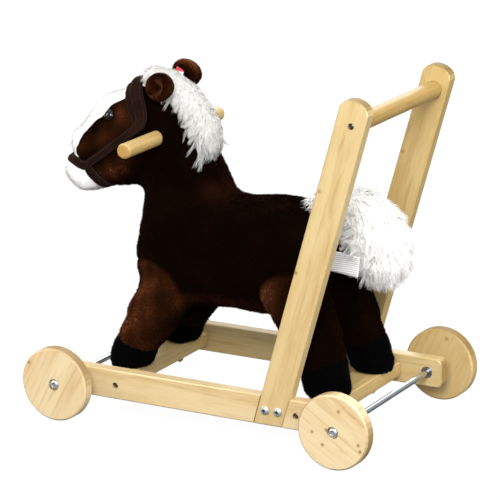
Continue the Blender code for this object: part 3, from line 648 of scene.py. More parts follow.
def white_depth(points):
    """How far inside the white muzzle or blaze each point is, in metres."""
    along, up = head_places(points)
    muzzle = along - MUZZLE_START - np.clip(up - 0.004, 0.0, 0.03) * 0.35
    muzzle = np.minimum(muzzle, points[:, 2] - CHIN_LEVEL)
    half = np.interp(along, BLAZE_ALONG, BLAZE_HALF)
    blaze = np.minimum(np.minimum(half - np.abs(points[:, 0]), up - 0.020), along + 0.060)
    return np.maximum(muzzle, blaze)


def panel_depth(points):
    """How far inside a leg's own sewn-on panel each point is, in metres."""
    found = np.full(len(points), -1.0)
    for y, z, wide, high in (FRONT_PANEL, REAR_PANEL):
        up = np.maximum(points[:, 2] - z, 0) / high
        part = (np.abs((points[:, 1] - y) / wide) ** 2.4 + up ** 2.4) ** (1 / 2.4)
        depth = (1 - part) * wide
        lower = points[:, 2] < z - 0.012
        depth = np.where(lower & (np.abs(points[:, 1] - y) < 2 * wide), 0.03, depth)
        found = np.maximum(found, depth)
    return np.where(np.abs(points[:, 0]) > 0.030, found, -1.0)


def hoof_depth(points):
    """How far below the tilted upper edge of its hoof each point is, in metres."""
    found = np.full(len(points), -1.0)
    for y, z, tilt in HOOF_EDGES:
        near = np.abs(points[:, 1] - y) < 0.07
        depth = z - tilt * (points[:, 1] - y) - points[:, 2]
        found = np.where(near & (points[:, 2] < 0.14), depth, found)
    return found


def coat_comb(points, normals):
    """The way the short pile lies: down, and back from nose to tail."""
    flow = np.tile([0.0, 0.55, -0.80], (len(points), 1))
    swirl = 0.45 * np.stack([ripple(points, 0.09, seed) for seed in (1, 2, 3)], axis=1)
    return flat_on(flow + swirl, normals)


def painted_sheen_tone(points):
    """Painted sheen: 0 where the brown pile is darkest, 1 where its nap is painted lit and reddish.
    """
    x, y, z = np.abs(points[:, 0]), points[:, 1], points[:, 2]
    along, up = head_places(points)

    def spot(first, second, centre, size):
        return np.exp(-((first - centre[0]) / size[0]) ** 2 - ((second - centre[1]) / size[1]) ** 2)

    # Painted highlights: the front leg panel is painted lighter outwards and upwards, fading
    # backwards.
    inside = np.clip(panel_depth(points) / 0.006, 0, 1)
    front = inside * (y < 0.02) * np.interp(y, (-0.150, -0.108, -0.082), (0.95, 0.85, 0.30))
    light = front * np.clip((x - 0.045) / 0.03, 0.2, 1) \
        * np.interp(z, (0.105, 0.145, 0.185), (0.70, 0.95, 1.35))
    # Painted highlights on the rear leg's panel, the neck, the chest and the face.
    light += inside * (y >= 0.02) * 1.25 * spot(y, z, (0.066, 0.184), (0.032, 0.042))
    light += 0.16 * spot(y, z, (-0.022, 0.305), (0.030, 0.016))
    light += 0.34 * spot(z, x, (0.160, 0.05), (0.012, 0.040)) * (np.abs(y) < 0.06)
    for strength, centre, size in ((0.95, (0.062, -0.018), (0.034, 0.013)),
                                   (0.75, (0.084, 0.036), (0.014, 0.012)),
                                   (1.10, (0.002, 0.036), (0.012, 0.017)),
                                   (0.75, (0.035, 0.026), (0.022, 0.012))):
        light += (z > HEAD_FROM) * strength * spot(along, up, centre, size)
    streaks = ripple(points * (1.0, 1.0, 0.8), 0.030, 5)
    tone = light * (0.80 + 0.17 * streaks) + 0.012 * ripple(points, 0.045, 8)
    return np.clip(tone, 0.0, 1.0)


# -------------------------------------------------------------------- horse
def seam_distance(points):
    """Distance from each point to the nearest sewn seam of the skin."""
    x, y, z = np.abs(points[:, 0]), points[:, 1], points[:, 2]
    along, up = head_places(points)
    face = (up > 0.0) & (along > -0.05) & (z > FACE_FROM)
    middle = np.where(face, 1.0, x)
    panel = np.abs(panel_depth(points))
    hoof = np.where(z < 0.14, np.abs(hoof_depth(points)), 1.0)
    blaze = np.where(face, np.abs(white_depth(points)), 1.0)
    return np.minimum(np.minimum(middle, panel), np.minimum(hoof, blaze))


def grip_plug(build):
    """Closes the hole that the grip runs through, inside the neck."""
    low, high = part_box("grip_dowel")
    across = Matrix.Rotation(math.pi / 2, 4, "Y")
    bmesh.ops.create_cone(build, cap_ends=True, segments=24, radius1=0.0112, radius2=0.0112,
                          depth=0.064, matrix=Matrix.Translation((low + high) / 2) @ across)


def cover(piece, nodes, clearance):
    """Moves the skin out wherever it is closer than the clearance to an inner part."""
    for node in nodes:
        tree = tree_of(NODES[node].data)
        for vert in piece.data.vertices:
            place, normal, _, distance = tree.find_nearest(vert.co, clearance + 0.02)
            if place is None:
                continue
            gap = distance if (vert.co - place).dot(normal) > 0 else -distance
            if gap < clearance and abs(gap) < 0.008:
                vert.co += vert.normal * (clearance - gap)
    piece.data.update()


def shape_skin(skin):
    """Fuller leg panels, a muzzle nipped in by the noseband, and soft dents."""
    points, normals = points_of(skin.data), normals_of(skin.data)
    along, up = head_places(points)
    height = points[:, 2]

    def ridge(middle, width):
        return np.exp(-((along - middle) / width) ** 2)

    def risen(value, start, length):
        return np.clip((value - start) / length, 0, 1)

    panel = risen(panel_depth(points), 0, 0.008) * (height > 0.135)
    head = height > CHIN_LEVEL
    nose = ridge(noseband_along(np.clip(up / 0.045, -1, 1)), 0.009) * head
    chin = risen(along, 0.100, 0.02) * head * risen(-up, -0.004, 0.02)
    # Legs and hooves are fuller behind, towards the horse's middle.
    behind = normals[:, 1] * 0.87 - normals[:, 0] * np.sign(points[:, 0]) * 0.49
    behind = risen(behind, 0, 1) * risen(-height, -0.155, 0.03) * (np.abs(points[:, 1]) > 0.06)
    top = head * risen(normals @ np.array(HEAD_UP + 1.2 * HEAD_AHEAD), 0.15, 0.5)
    top *= risen(up, 0.008, 0.012)
    profile = 0.0065 * ridge(0.097, 0.013) - 0.0045 * ridge(0.122, 0.012) \
        + 0.0062 * ridge(-0.036, 0.022)
    dents = 0.0009 * ripple(points, 0.055, 31) + 0.0004 * ripple(points, 0.024, 32)
    dents *= risen(height, 0.075, 0.02)
    moved = 0.0028 * panel - 0.0028 * nose + 0.0050 * chin + 0.0045 * behind + top * profile + dents
    set_points(skin.data, points + normals * moved[:, None])


def make_skin(ground):
    """The stuffed skin of barrel, neck, head and legs, with its hooves still on."""
    hooves = ["hoof_" + place for place, _ in PLACES]
    posts = ["leg_post_" + place for place, _ in PLACES]
    nodes = ["plush_body"] + hooves + ["spine_beam", "neck_post"] + posts
    skin = joined_copy("plush_skin", nodes, grip_plug)
    remesh(skin, 0.0043)
    drop_inside(skin)
    fillet_creases(skin, 0.006, 0.0048)
    drop_inside(skin)
    smooth(skin, 4)
    cover(skin, posts, 0.003)
    shape_skin(skin)
    smooth(skin, 2)
    points = points_of(skin.data)
    on_sole = points[:, 2] < SOLE + 0.006
    pinned = np.maximum(np.exp(-(seam_distance(points) / 0.004) ** 2), on_sole)
    swell(skin, -0.0010)
    inflate(skin, pinned, 3.0, 0.0030)
    modify(skin, "SUBSURF", levels=1, render_levels=1)
    points, normals = points_of(skin.data), normals_of(skin.data)
    near = np.exp(-(seam_distance(points) / 0.0021) ** 2)
    points = points - normals * (SEAM_DEPTH * near)[:, None]
    points[:, 2] = np.maximum(points[:, 2], SOLE)
    set_points(skin.data, points)
    skin.data.shade_smooth()
    # The 'nap' attribute carries the painted sheen highlights of the brown pile.
    for name, values in (("white", white_depth(points)), ("nap", painted_sheen_tone(points))):
        layer = skin.data.attributes.new(name, "FLOAT", "POINT")
        layer.data.foreach_set("value", values.astype(np.float32))
    skin.data.materials.clear()
    skin.data.materials.append(ground)
    return skin


def split_hooves(skin, black):
    """Cuts each hoof off the skin along its seam; every piece is closed again."""
    whole = skin.data.copy()
    for place, sign in PLACES:
        rear = place.startswith("rear")
        y, z, tilt = HOOF_EDGES[rear]
        centre, normal = Vector((0, y, z)), Vector((0, tilt, 1)).normalized()

        def on_leg(spot):
            return spot.x * sign > 0 and (spot.y > 0 if rear else spot.y < 0) and spot.z < 0.150

        hoof = link("hoof_plush_" + place, whole.copy())
        for mesh, keep_hoof in ((hoof.data, True), (skin.data, False)):
            build = bmesh.new()
            build.from_mesh(mesh)
            leg = [face for face in build.faces if on_leg(face.calc_center_median())]
            parts = leg + list({edge for face in leg for edge in face.edges}) \
                + list({vert for face in leg for vert in face.verts})
            bmesh.ops.bisect_plane(build, geom=parts, plane_co=centre, plane_no=normal)
            unwanted = [face for face in build.faces if keep_hoof != (
                on_leg(spot := face.calc_center_median()) and (spot - centre).dot(normal) < 0)]
            bmesh.ops.delete(build, geom=unwanted, context="FACES")
            open_edges = [edge for edge in build.edges if edge.is_boundary]
            bmesh.ops.holes_fill(build, edges=open_edges, sides=0)
            build.to_mesh(mesh)
            build.free()
        finish_piece(hoof, black, ["hoof_" + place])
    finish_piece(skin, None, ["plush_body"])


def dress_skin(mesh, bridle_tree, materials):
    """Short pile over skin and hooves, except under the straps and round the grip."""
    rng = np.random.default_rng(11)
    roots, away = scatter(mesh, SKIN_STRANDS, rng)
    low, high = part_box("grip_dowel")
    middle = (low + high) / 2
    from_grip = np.hypot(roots[:, 1] - middle.y, roots[:, 2] - middle.z)
    bare = (from_grip < 0.0105) | (roots[:, 2] < SOLE + 0.0008)
    on_head = np.flatnonzero(roots[:, 2] > HEAD_FROM)
    bare[on_head] |= np.array([bridle_tree.find_nearest(Vector(root), 0.0036)[0] is not None
                               for root in roots[on_head]])
    roots, away = roots[~bare], away[~bare]
    comb = coat_comb(roots, away)
    count = len(roots)
    is_white = white_depth(roots) + 0.0006 * rng.normal(size=count) > 0
    is_black = hoof_depth(roots) + 0.0006 * rng.normal(size=count) > 0
    spread = rng.normal(size=count)
    hue = painted_sheen_tone(roots) * (1 + 0.22 * spread) + 0.03 * spread
    hue = np.where(is_black, 0.3 + 0.2 * spread, hue)
    hue = np.clip(np.where(is_white, 0.6 + 0.2 * spread, hue), 0, 1)
    length = PILE_LENGTH * rng.uniform(0.7, 1.25, count)
    for name, mask in (("brown", ~is_white & ~is_black), ("white", is_white), ("black", is_black)):
        pile = blades("pile_" + name, roots[mask], away[mask], comb[mask], length[mask],
                      PILE_WIDTH, rng, hue[mask])
        finish_piece(pile, materials[name])


def make_ear(side, sign, centre, outer, strands_material):
    """A thick round ear, hollowed on its outer side."""
    facing = Vector((sign * 0.93, 0.02, 0.28)).normalized()
    tall = Vector((sign * 0.22, -0.05, 1.0))
    tall = (tall - facing * tall.dot(facing)).normalized()
    across = tall.cross(facing) * sign
    build = ball(40, 28, 1.0)
    for vert in build.verts:
        wide, deep, high = vert.co
        hollow = math.exp(-(((wide + 0.22) / 0.56) ** 2 + ((high + 0.04) / 0.56) ** 2) ** 2)
        notch = math.exp(-((wide + 0.95) / 0.45) ** 2 - ((high + 0.15) / 0.40) ** 2)
        front = max(0.0, deep) ** 0.5
        depth = EAR_DEPTH * deep - front * (0.0145 * hollow + 0.007 * notch)
        narrow = 1.0 - 0.30 * max(0.0, -high) ** 2
        vert.co = centre + across * (EAR_HALF_WIDTH * wide * narrow) \
            + tall * (EAR_HALF_HEIGHT * high) + facing * depth
    bmesh.ops.recalc_face_normals(build, faces=build.faces)
    ear = piece_from(build, "ear_plush_" + side)
    finish_piece(ear, outer, ["ear_" + side])
    rng = np.random.default_rng(61 + sign)
    roots, away = scatter(ear.data, EAR_STRANDS, rng)
    count = len(roots)
    comb = flat_on(np.array(tall) + 0.5 * rng.normal(size=(count, 3)), away)
    offset = (roots - np.array(centre)) @ np.array([across, facing, tall]).T
    wide, deep, high = (offset / ((EAR_HALF_WIDTH + EAR_HALF_HEIGHT) / 2)).T
    # Painted light and shade: the near ear a lit lining round a dark hollow, the far ear its dark
    # back.
    ring = np.hypot((wide + 0.22) / 0.56, (high + 0.04) / 0.56)
    lining = np.exp(-((ring - 0.72) / 0.36) ** 2) * np.clip((wide + 0.45) / 0.30, 0, 1)
    lining *= deep > -0.3
    lining += 0.8 * np.exp(-((wide + 0.42) / 0.30) ** 2 - ((high + 0.55) / 0.18) ** 2)
    # Painted highlight on the rim, brightest at its top, and painted shade in the middle of the
    # hollow.
    rim = np.clip(np.hypot(wide, high) - 0.70, 0, 0.3) * 2.4
    hollow = np.exp(-((wide + 0.42) / 0.30) ** 2 - (high / 0.32) ** 2)
    # The near ear is painted lighter than the far one, whose back lies in shade.
    ground, painted_lining_light = (0.32, 1.05) if sign > 0 else (0.09, 0.0)
    hue = ground * (1 - hollow) + rim * (0.62 + 0.70 * high) + painted_lining_light * np.clip(lining, 0, 1)
    hue = np.clip(hue + 0.06 * rng.normal(size=count), 0, 1)
    length = PILE_LENGTH * rng.uniform(0.6, 1.2, count) * (1 - 0.5 * lining)
    pile = blades("pile_ear_" + side, roots, away, comb, length, EAR_PILE_WIDTH, rng,
                  hue)
    finish_piece(pile, strands_material)


def make_eye(side, material, tree):
    """A glossy domed button, sunk in the plush."""
    low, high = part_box("eye_" + side)
    place, normal, _, _ = tree.find_nearest((low + high) / 2)
    turn = normal.to_track_quat("Z", "Y").to_matrix().to_4x4()
    build = ball(36, 20, EYE_RADIUS)
    bmesh.ops.scale(build, vec=(1, 1, 0.75), verts=build.verts)
    bmesh.ops.transform(build, matrix=Matrix.Translation(place + normal * 0.0012) @ turn,
                        verts=build.verts)
    finish_piece(piece_from(build, "eye_button_" + side), material, ["eye_" + side])


# ------------------------------------------------------------- mane and tail
def make_base(name, node, material, shrink):
    """The stuffed strip that the long pile is sewn into."""
    base = joined_copy(name, [node])
    remesh(base, 0.004)
    drop_inside(base)
    swell(base, -shrink)
    smooth(base, 6)
    base.data.shade_smooth()
    finish_piece(base, material, [node])
    return base


def rows_of(*columns):
    """Vectors from columns, any of which may be one number."""
    return np.stack(np.broadcast_arrays(*columns), axis=1)


def jittered(vectors, amount, rng):
    return unit(vectors + amount * rng.normal(size=vectors.shape))


def make_mane(ground, material):
    base = make_base("mane_strip", "mane", ground, 0.006)
    points = points_of(base.data)
    raised = 0.0085 * np.clip((head_places(points)[0] + 0.075) / 0.025, 0, 1)
    set_points(base.data, points + raised[:, None] * np.array(HEAD_UP))
    rng = np.random.default_rng(23)
    roots, away = scatter(base.data, MANE_STRANDS, rng)
    rear = np.clip(away[:, 1], 0, 1)
    away = jittered(away, 0.30, rng)
    count = len(roots)
    side = np.sign(roots[:, 0] + 0.004)
    # Down both sides of the crest, and up and over the brow for the forelock.
    brow = np.clip((head_places(roots)[0] + 0.036) / 0.018, 0, 1)[:, None]
    flow = (rows_of(0.45 * side, -0.10, -0.85) * (1 - brow)
            + rows_of(0.20 * side, -0.25, 0.70) * brow)
    comb = jittered(flow, 0.24, rng)
    length = rng.uniform(0.011, 0.023, count) * (1 - 0.45 * rear)
    width = rng.uniform(*LOCK_WIDTH, count)
    fluff = locks("mane_locks", roots, away, comb, length, width, rng, 1100, 0.55)
    # Longer pointed locks hang from its two lower edges, longest at its foot.
    roots, away = scatter(base.data, MANE_STRANDS, rng)
    last = np.clip((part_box("mane")[0].z + 0.055 - roots[:, 2]) / 0.03, 0, 1)
    edge = (np.abs(roots[:, 0]) > 0.013) & (head_places(roots)[0] < -0.050) & (away[:, 1] < 0.35)
    roots, away, last = roots[edge], away[edge], last[edge]
    side = np.sign(roots[:, 0])
    flow = rows_of(0.35 * side, -0.28 + 0.45 * last * (side > 0), -0.85)
    comb = jittered(flow, 0.10, rng)
    length = rng.uniform(0.016, 0.027, len(roots)) + 0.013 * last
    tips = locks("mane_tips", roots, unit(away + comb * 0.4), comb, length,
                 np.full(len(roots), TIP_WIDTH), rng, 170, 0.95)
    for piece in (fluff, tips):
        finish_piece(piece, material)


def make_tail(ground, material):
    base = make_base("tail_strip", "tail", ground, 0.007)
    rng = np.random.default_rng(37)
    roots, away = scatter(base.data, TAIL_STRANDS, rng)
    away = jittered(away, 0.30, rng)
    count = len(roots)
    low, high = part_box("tail")
    drop = np.clip((high.z - roots[:, 2]) / (high.z - low.z), 0, 1)
    side = np.sign(roots[:, 0])
    # The first tufts stand out over the rump.
    start = np.clip((low.y + 0.030 - roots[:, 1]) / 0.02, 0, 1)[:, None]
    flow = rows_of(0.25 * side, 0.75 - 0.75 * drop, -0.35 - 0.65 * drop) * (1 - start) \
        + rows_of(0.7 * side, -0.5, -0.4) * start
    comb = jittered(flow, 0.22, rng)
    length = rng.uniform(0.013, 0.025, count)
    width = rng.uniform(*LOCK_WIDTH, count)
    tail = locks("tail_locks", roots, away, comb, length, width, rng, 1500, 0.55)
    # Loose wisps hang off its lower front edge, over the label.
    roots, away = scatter(base.data, WISP_STRANDS, rng)
    drop = (high.z - roots[:, 2]) / (high.z - low.z)
    edge = (away[:, 1] < -0.15) & (drop > 0.25) & (drop < 0.85) & (roots[:, 0] > -0.01)
    roots, away = roots[edge], away[edge]
    comb = unit(np.array([0.75, -0.55, -0.45]) + 0.18 * rng.normal(size=roots.shape))
    length = rng.uniform(0.016, 0.030, len(roots))
    wisps = locks("tail_wisps", roots, away, comb, length, np.full(len(roots), TIP_WIDTH), rng,
                  110, 0.85)
    for piece in (tail, wisps):
        finish_piece(piece, material)


# ------------------------------------------------------------------- bridle
STRAP_THICKNESS = 0.0017
STRAP_STEPS = 6                 # quads across a strap's face
STITCH_PITCH = 0.0034
AXIS_RISE = 0.004               # of the axis that straps are laid round


def noseband_along(rise):
    """The noseband's place along the head, by the sine of the angle round it."""
    return 0.0935 + 0.031 * np.maximum(rise, 0.0)


def head_ray(tree, along, angle):
    """The skin's point at a distance along the head and an angle round it."""
    centre = HEAD_ORIGIN + HEAD_AHEAD * along + HEAD_UP * AXIS_RISE
    way = Vector(X) * math.cos(angle) + HEAD_UP * math.sin(angle)
    return tree.ray_cast(centre + way * 0.11, -way)[0]


def strap(tree, path, stand, closed):
    """A strap laid on the skin along (along, angle, width) points: rings of its section."""
    middle = [head_ray(tree, along, angle) for along, angle, _ in path]
    count = len(middle)
    rings = []
    for i, here in enumerate(middle):
        before = middle[(i - 1) % count] if closed or i else here
        after = middle[(i + 1) % count] if closed or i < count - 1 else here
        normal = tree.find_nearest(here)[1]
        across = normal.cross((after - before).normalized()).normalized()
        under, over = [], []
        for step in range(STRAP_STEPS + 1):
            share = -1 + 2 * step / STRAP_STEPS
            spot, lift, _, _ = tree.find_nearest(here + across * (share * path[i][2] / 2))
            edge = 0.45 * STRAP_THICKNESS * abs(share) ** 6
            under.append(spot + lift * stand)
            over.append(spot + lift * (stand + STRAP_THICKNESS - edge))
        rings.append(under + over[::-1])
    return rings


def tube(build, rings, closed=False):
    """Joins rings of points by quads.  Returns the rings' vertices and the rows of quads."""
    verts = [[build.verts.new(point) for point in ring] for ring in rings]
    around = len(rings[0])
    pairs = zip(verts, verts[1:] + verts[:1] if closed else verts[1:])
    quads = [[build.faces.new([one[i], one[(i + 1) % around], two[(i + 1) % around], two[i]])
              for i in range(around)] for one, two in pairs]
    return verts, quads


def cap(build, verts):
    return [build.faces.new(verts[0][::-1]), build.faces.new(verts[-1])]


def strap_paths():
    """(path, stand, closed) of the noseband, the lining strap over the poll, and the
    long strap that runs from one side of the noseband up over the poll to the other."""
    turns = [2 * math.pi * i / 60 for i in range(60)]
    nose = [(float(noseband_along(math.sin(turn))), turn, 0.0165) for turn in turns]
    under = [(-0.0157, math.radians(16 + 148 * i / 40), 0.0135) for i in range(41)]
    # Metres along the head, degrees round it, and the width in millimetres.
    marks = ((0.0950, 3, 11), (0.0600, 3, 11), (0.0440, 4.5, 11), (0.0150, 7, 11),
             (0.0000, 7.5, 11.5), (-0.0120, 9, 13), (-0.0225, 14.5, 16.5), (-0.0268, 26, 19.5),
             (-0.0290, 38, 21), (-0.0295, 52, 21), (-0.0310, 70, 21), (-0.0320, 90, 21))
    marks += tuple((along, 180 - angle, width) for along, angle, width in marks[-2::-1])
    steps = np.linspace(0, len(marks) - 1, 110)
    rows = [np.interp(steps, range(len(marks)), column) for column in zip(*marks)]
    rows = [np.convolve(np.pad(row, 3, "edge"), np.ones(7) / 7, "valid") for row in rows]
    long = [(along, math.radians(angle), width / 1000) for along, angle, width in zip(*rows)]
    return [(nose, 0.0010, True), (under, 0.0008, False), (long, 0.0028, False)]


def make_bridle(tree):
    """The straps, whose cut edges have their own material, and their stitching."""
    build, stitches = bmesh.new(), bmesh.new()
    for path, stand, closed in strap_paths():
        rings = strap(tree, path, stand, closed)
        verts, quads = tube(build, rings, closed)
        cut = [row[i] for row in quads for i in (STRAP_STEPS, -1)]
        for face in cut if closed else cut + cap(build, verts):
            face.material_index = 1
        stitch_rows(stitches, rings, closed)
    bmesh.ops.recalc_face_normals(build, faces=build.faces)
    bridle_tree = BVHTree.FromBMesh(build)
    edge = suede_edge()
    finish_piece(piece_from(build, "bridle_suede", suede(), edge, sharp=50), None,
                 ["bridle"])
    finish_piece(piece_from(stitches, "bridle_stitching", edge))
    return bridle_tree


def head_away(point):
    """Outwards from the head's axis at a point."""
    along = (point - HEAD_ORIGIN).dot(HEAD_AHEAD)
    return (point - HEAD_ORIGIN - HEAD_AHEAD * along - HEAD_UP * AXIS_RISE).normalized()


def stitch_rows(build, rings, closed):
    """Short thread stitches just inside both cut edges of a strap."""
    for edge in (1, STRAP_STEPS - 1):
        row = [ring[STRAP_STEPS + 1 + edge] for ring in rings]
        if closed:
            row.append(row[0])
        distance, next_at = 0.0, 0.001
        for one, two in zip(row, row[1:]):
            length = (two - one).length
            while next_at < distance + length:
                start = one.lerp(two, (next_at - distance) / length)
                stitch(build, start, (two - one).normalized(), head_away(start))
                next_at += STITCH_PITCH
            distance += length


def stitch(build, start, forward, away):
    side = forward.cross(away).normalized() * 0.00022
    rings = []
    for at, rise in ((0.0, -0.2), (0.0006, 1.0), (0.0016, 1.0), (0.0022, -0.2)):
        centre = start + forward * at + away * (0.0003 * rise)
        rings.append([centre + side, centre + away * 0.00025, centre - side,
                      centre - away * 0.0003])
    cap(build, tube(build, rings)[0])


# ------------------------------------------------------------------- labels
def curved_label(name, corner, along, down, width, height, bow, material):
    """A small woven label, bowed along its width."""
    along, down = Vector(along).normalized(), Vector(down).normalized()
    away = along.cross(down).normalized()
    columns, rows = 12, 10

    def spot(row, column, offset):
        u, v = column / columns, row / rows
        wave = bow * math.sin(math.pi * 0.9 * u) + 0.3 * bow * math.sin(2.5 * v + u)
        return Vector(corner) + along * width * u + down * height * v + away * (wave + offset)

    order = range(columns + 1)
    build = bmesh.new()
    verts, _ = tube(build, [[spot(row, column, 0.0) for column in order]
                            + [spot(row, column, LABEL_THICKNESS) for column in order[::-1]]
                            for row in range(rows + 1)])
    for ring in (verts[0], verts[-1]):
        for i in range(columns):
            build.faces.new([ring[i], ring[i + 1], ring[-2 - i], ring[-1 - i]])
    bmesh.ops.recalc_face_normals(build, faces=build.faces)
    label = piece_from(build, name, material)
    return label


def make_labels():
    low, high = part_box("care_label")
    care = curved_label("care_label_satin", (low.x, low.y, high.z), (0, 1, -0.10), (0, -0.10, -1),
                        high.y - low.y + 0.012, high.z - low.z, 0.003,
                        satin("label_satin", (0.80, 0.80, 0.79), lines=0.55))
    finish_piece(care, None, ["care_label"])
    low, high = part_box("ear_right")
    corner = Vector((high.x + 0.004, (low.y + high.y) / 2 - 0.006, high.z - 0.007))
    red_top = (corner.z - 0.006, (0.55, 0.02, 0.05))
    tag = curved_label("ear_tag_satin", corner, (0.35, 0.90, -0.30), (0.15, -0.30, -1),
                       0.015, 0.014, 0.001, satin("tag_satin", (0.85, 0.84, 0.82), red_top))
    finish_piece(tag)


# ------------------------------------------------------------ timber, steel
def dress_frame():
    middle = {name: (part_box(name)[0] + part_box(name)[1]) / 2 for name in NODES}
    grain_up = (0, math.sin(UPRIGHT_LEAN), math.cos(UPRIGHT_LEAN))
    for side, sign in SIDES:
        # Painted shade: the far side's rail and upright are toned darker and more saturated.
        tone = 1.0 if sign > 0 else 0.88
        x = sign * 0.20
        timber("side_rail_" + side, "rail_" + side, Y, X, (x, 0, 0.035 + 0.02 * sign), tone)
        at = middle["upright_" + side]
        timber("upright_" + side, "upright_" + side, grain_up, X, (x, at.y + 0.01 * sign, at.z),
               0.90 * tone, 7.0, 0.52)
    # Painted shade: the boards under the horse are toned darker and more saturated.
    for end, shift in (("front", -0.03), ("rear", -0.01)):
        node = "cross_board_" + end
        timber(node, "board_" + end, X, Z, (0, middle[node].y + shift, -0.06), 0.84)
    for node, tone, knots in (("handle_dowel", 0.64, 0.0), ("grip_dowel", 0.77, 8.0)):
        at = middle[node]
        timber(node, node, X, Y, (0, at.y + 0.022, at.z - 0.018), tone, knots, 1.05)
    # Painted shade: the far wheels are toned darker than the near ones.
    turns = {"front_left": 62, "front_right": 20, "rear_left": 148, "rear_right": 65}
    for place, sign in PLACES:
        at = middle["wheel_" + place]
        y, z = math.cos(math.radians(turns[place])), math.sin(math.radians(turns[place]))
        timber("wheel_" + place, "wheel_" + place, (0, y, z), X,
               (at.x + sign * 0.07, at.y + 0.03 * z, at.z - 0.03 * y),
               1.05 if sign > 0 else 0.84, 30.0 if place == "rear_left" else 8.0, 0.58)


def assign(node, material):
    NODES[node].data.materials.clear()
    NODES[node].data.materials.append(material)


def timber(node, name, *settings):
    assign(node, wood("pine_" + name, *settings))


def dress_hardware():
    zinc = steel("dull_zinc", (0.36, 0.36, 0.37), (0.30, 0.45))
    hidden = wood("pine_inner", Y, X, (0.2, 0, 0), 0.9)
    skins = {"axle_bush": zinc, "hoof_bolt": zinc, "spine_beam": hidden, "neck_post": hidden,
             "leg_post": hidden, "axle": steel("steel_rod", (0.50, 0.57, 0.59), (0.10, 0.20)),
             "wheel_spacer": moulded("spacer_nylon", (0.030,) * 3, (0.050,) * 3, 0.40)}
    for name in NODES:
        for start, material in skins.items():
            if name.startswith(start):
                assign(name, material)
                break


def make_bolt(name, head, rise, steel_skin, shade):
    """A button-head bolt with a flange and a round socket, in place of its node."""
    low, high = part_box(name)
    middle = (low + high) / 2
    sign = 1 if middle.x > 0 else -1
    base = (high.x if sign > 0 else low.x) - sign * rise
    # Its outline: radius, and distance out from the timber.
    profile = [(0.0028, low.x - high.x + rise), (0.0029, 0.0)]
    profile += [(wide * head, out * rise) for wide, out in (
        (1.0, 0.0), (1.0, 0.16), (0.93, 0.30), (0.84, 0.36), (0.76, 0.70), (0.60, 0.93),
        (0.42, 1.0), (0.40, 0.97), (0.36, 0.45))]
    turns = [2 * math.pi * i / 32 for i in range(32)]
    build = bmesh.new()
    verts, _ = tube(build, [[(base + sign * out, middle.y + radius * math.cos(turn),
                              middle.z + radius * math.sin(turn)) for turn in turns]
                            for radius, out in profile])
    cap(build, verts)
    bmesh.ops.recalc_face_normals(build, faces=build.faces)
    # The socket's inner faces take the second material, its painted shade.
    for face in build.faces:
        centre = face.calc_center_median()
        inner = math.hypot(centre.y - middle.y, centre.z - middle.z) < 0.39 * head
        if inner and (centre.x - base) * sign > 0.2 * rise:
            face.material_index = 1
    bolt = piece_from(build, name + "_turned", steel_skin, shade, sharp=40)
    finish_piece(bolt, None, [name])


def make_bolts():
    chrome = steel("bolt_chrome", (0.78, 0.81, 0.84), (0.40, 0.50))
    worn = steel("lap_chrome", (0.58, 0.62, 0.66), (0.50, 0.60))
    # Painted shade: the sunk bolts' heads are coloured dark, as the shade of the holes they sit in.
    shaded_sunk_steel = steel("sunk_bolt", (0.20, 0.19, 0.18), (0.22, 0.36))
    # Painted shade: the sockets' inner faces get dark colours, the wheel bolts' a paler one.
    shade = moulded("socket_shade", (0.030, 0.032, 0.035), (0.050, 0.052, 0.055), 0.5)
    pale_socket_shade = moulded("socket_shade_pale", (0.17, 0.20, 0.23), (0.24, 0.27, 0.30), 0.4)
    kinds = {"wheel_bolt": (0.0078, 0.0042, chrome, pale_socket_shade),
             "lap_bolt": (0.0060, 0.0032, worn, shade),
             "handle_bolt": (0.0041, 0.0030, shaded_sunk_steel, shade),
             "board_bolt": (0.0041, 0.0030, shaded_sunk_steel, shade)}
    for name in NODES:
        for start, settings in kinds.items():
            if name.startswith(start):
                make_bolt(name, *settings)


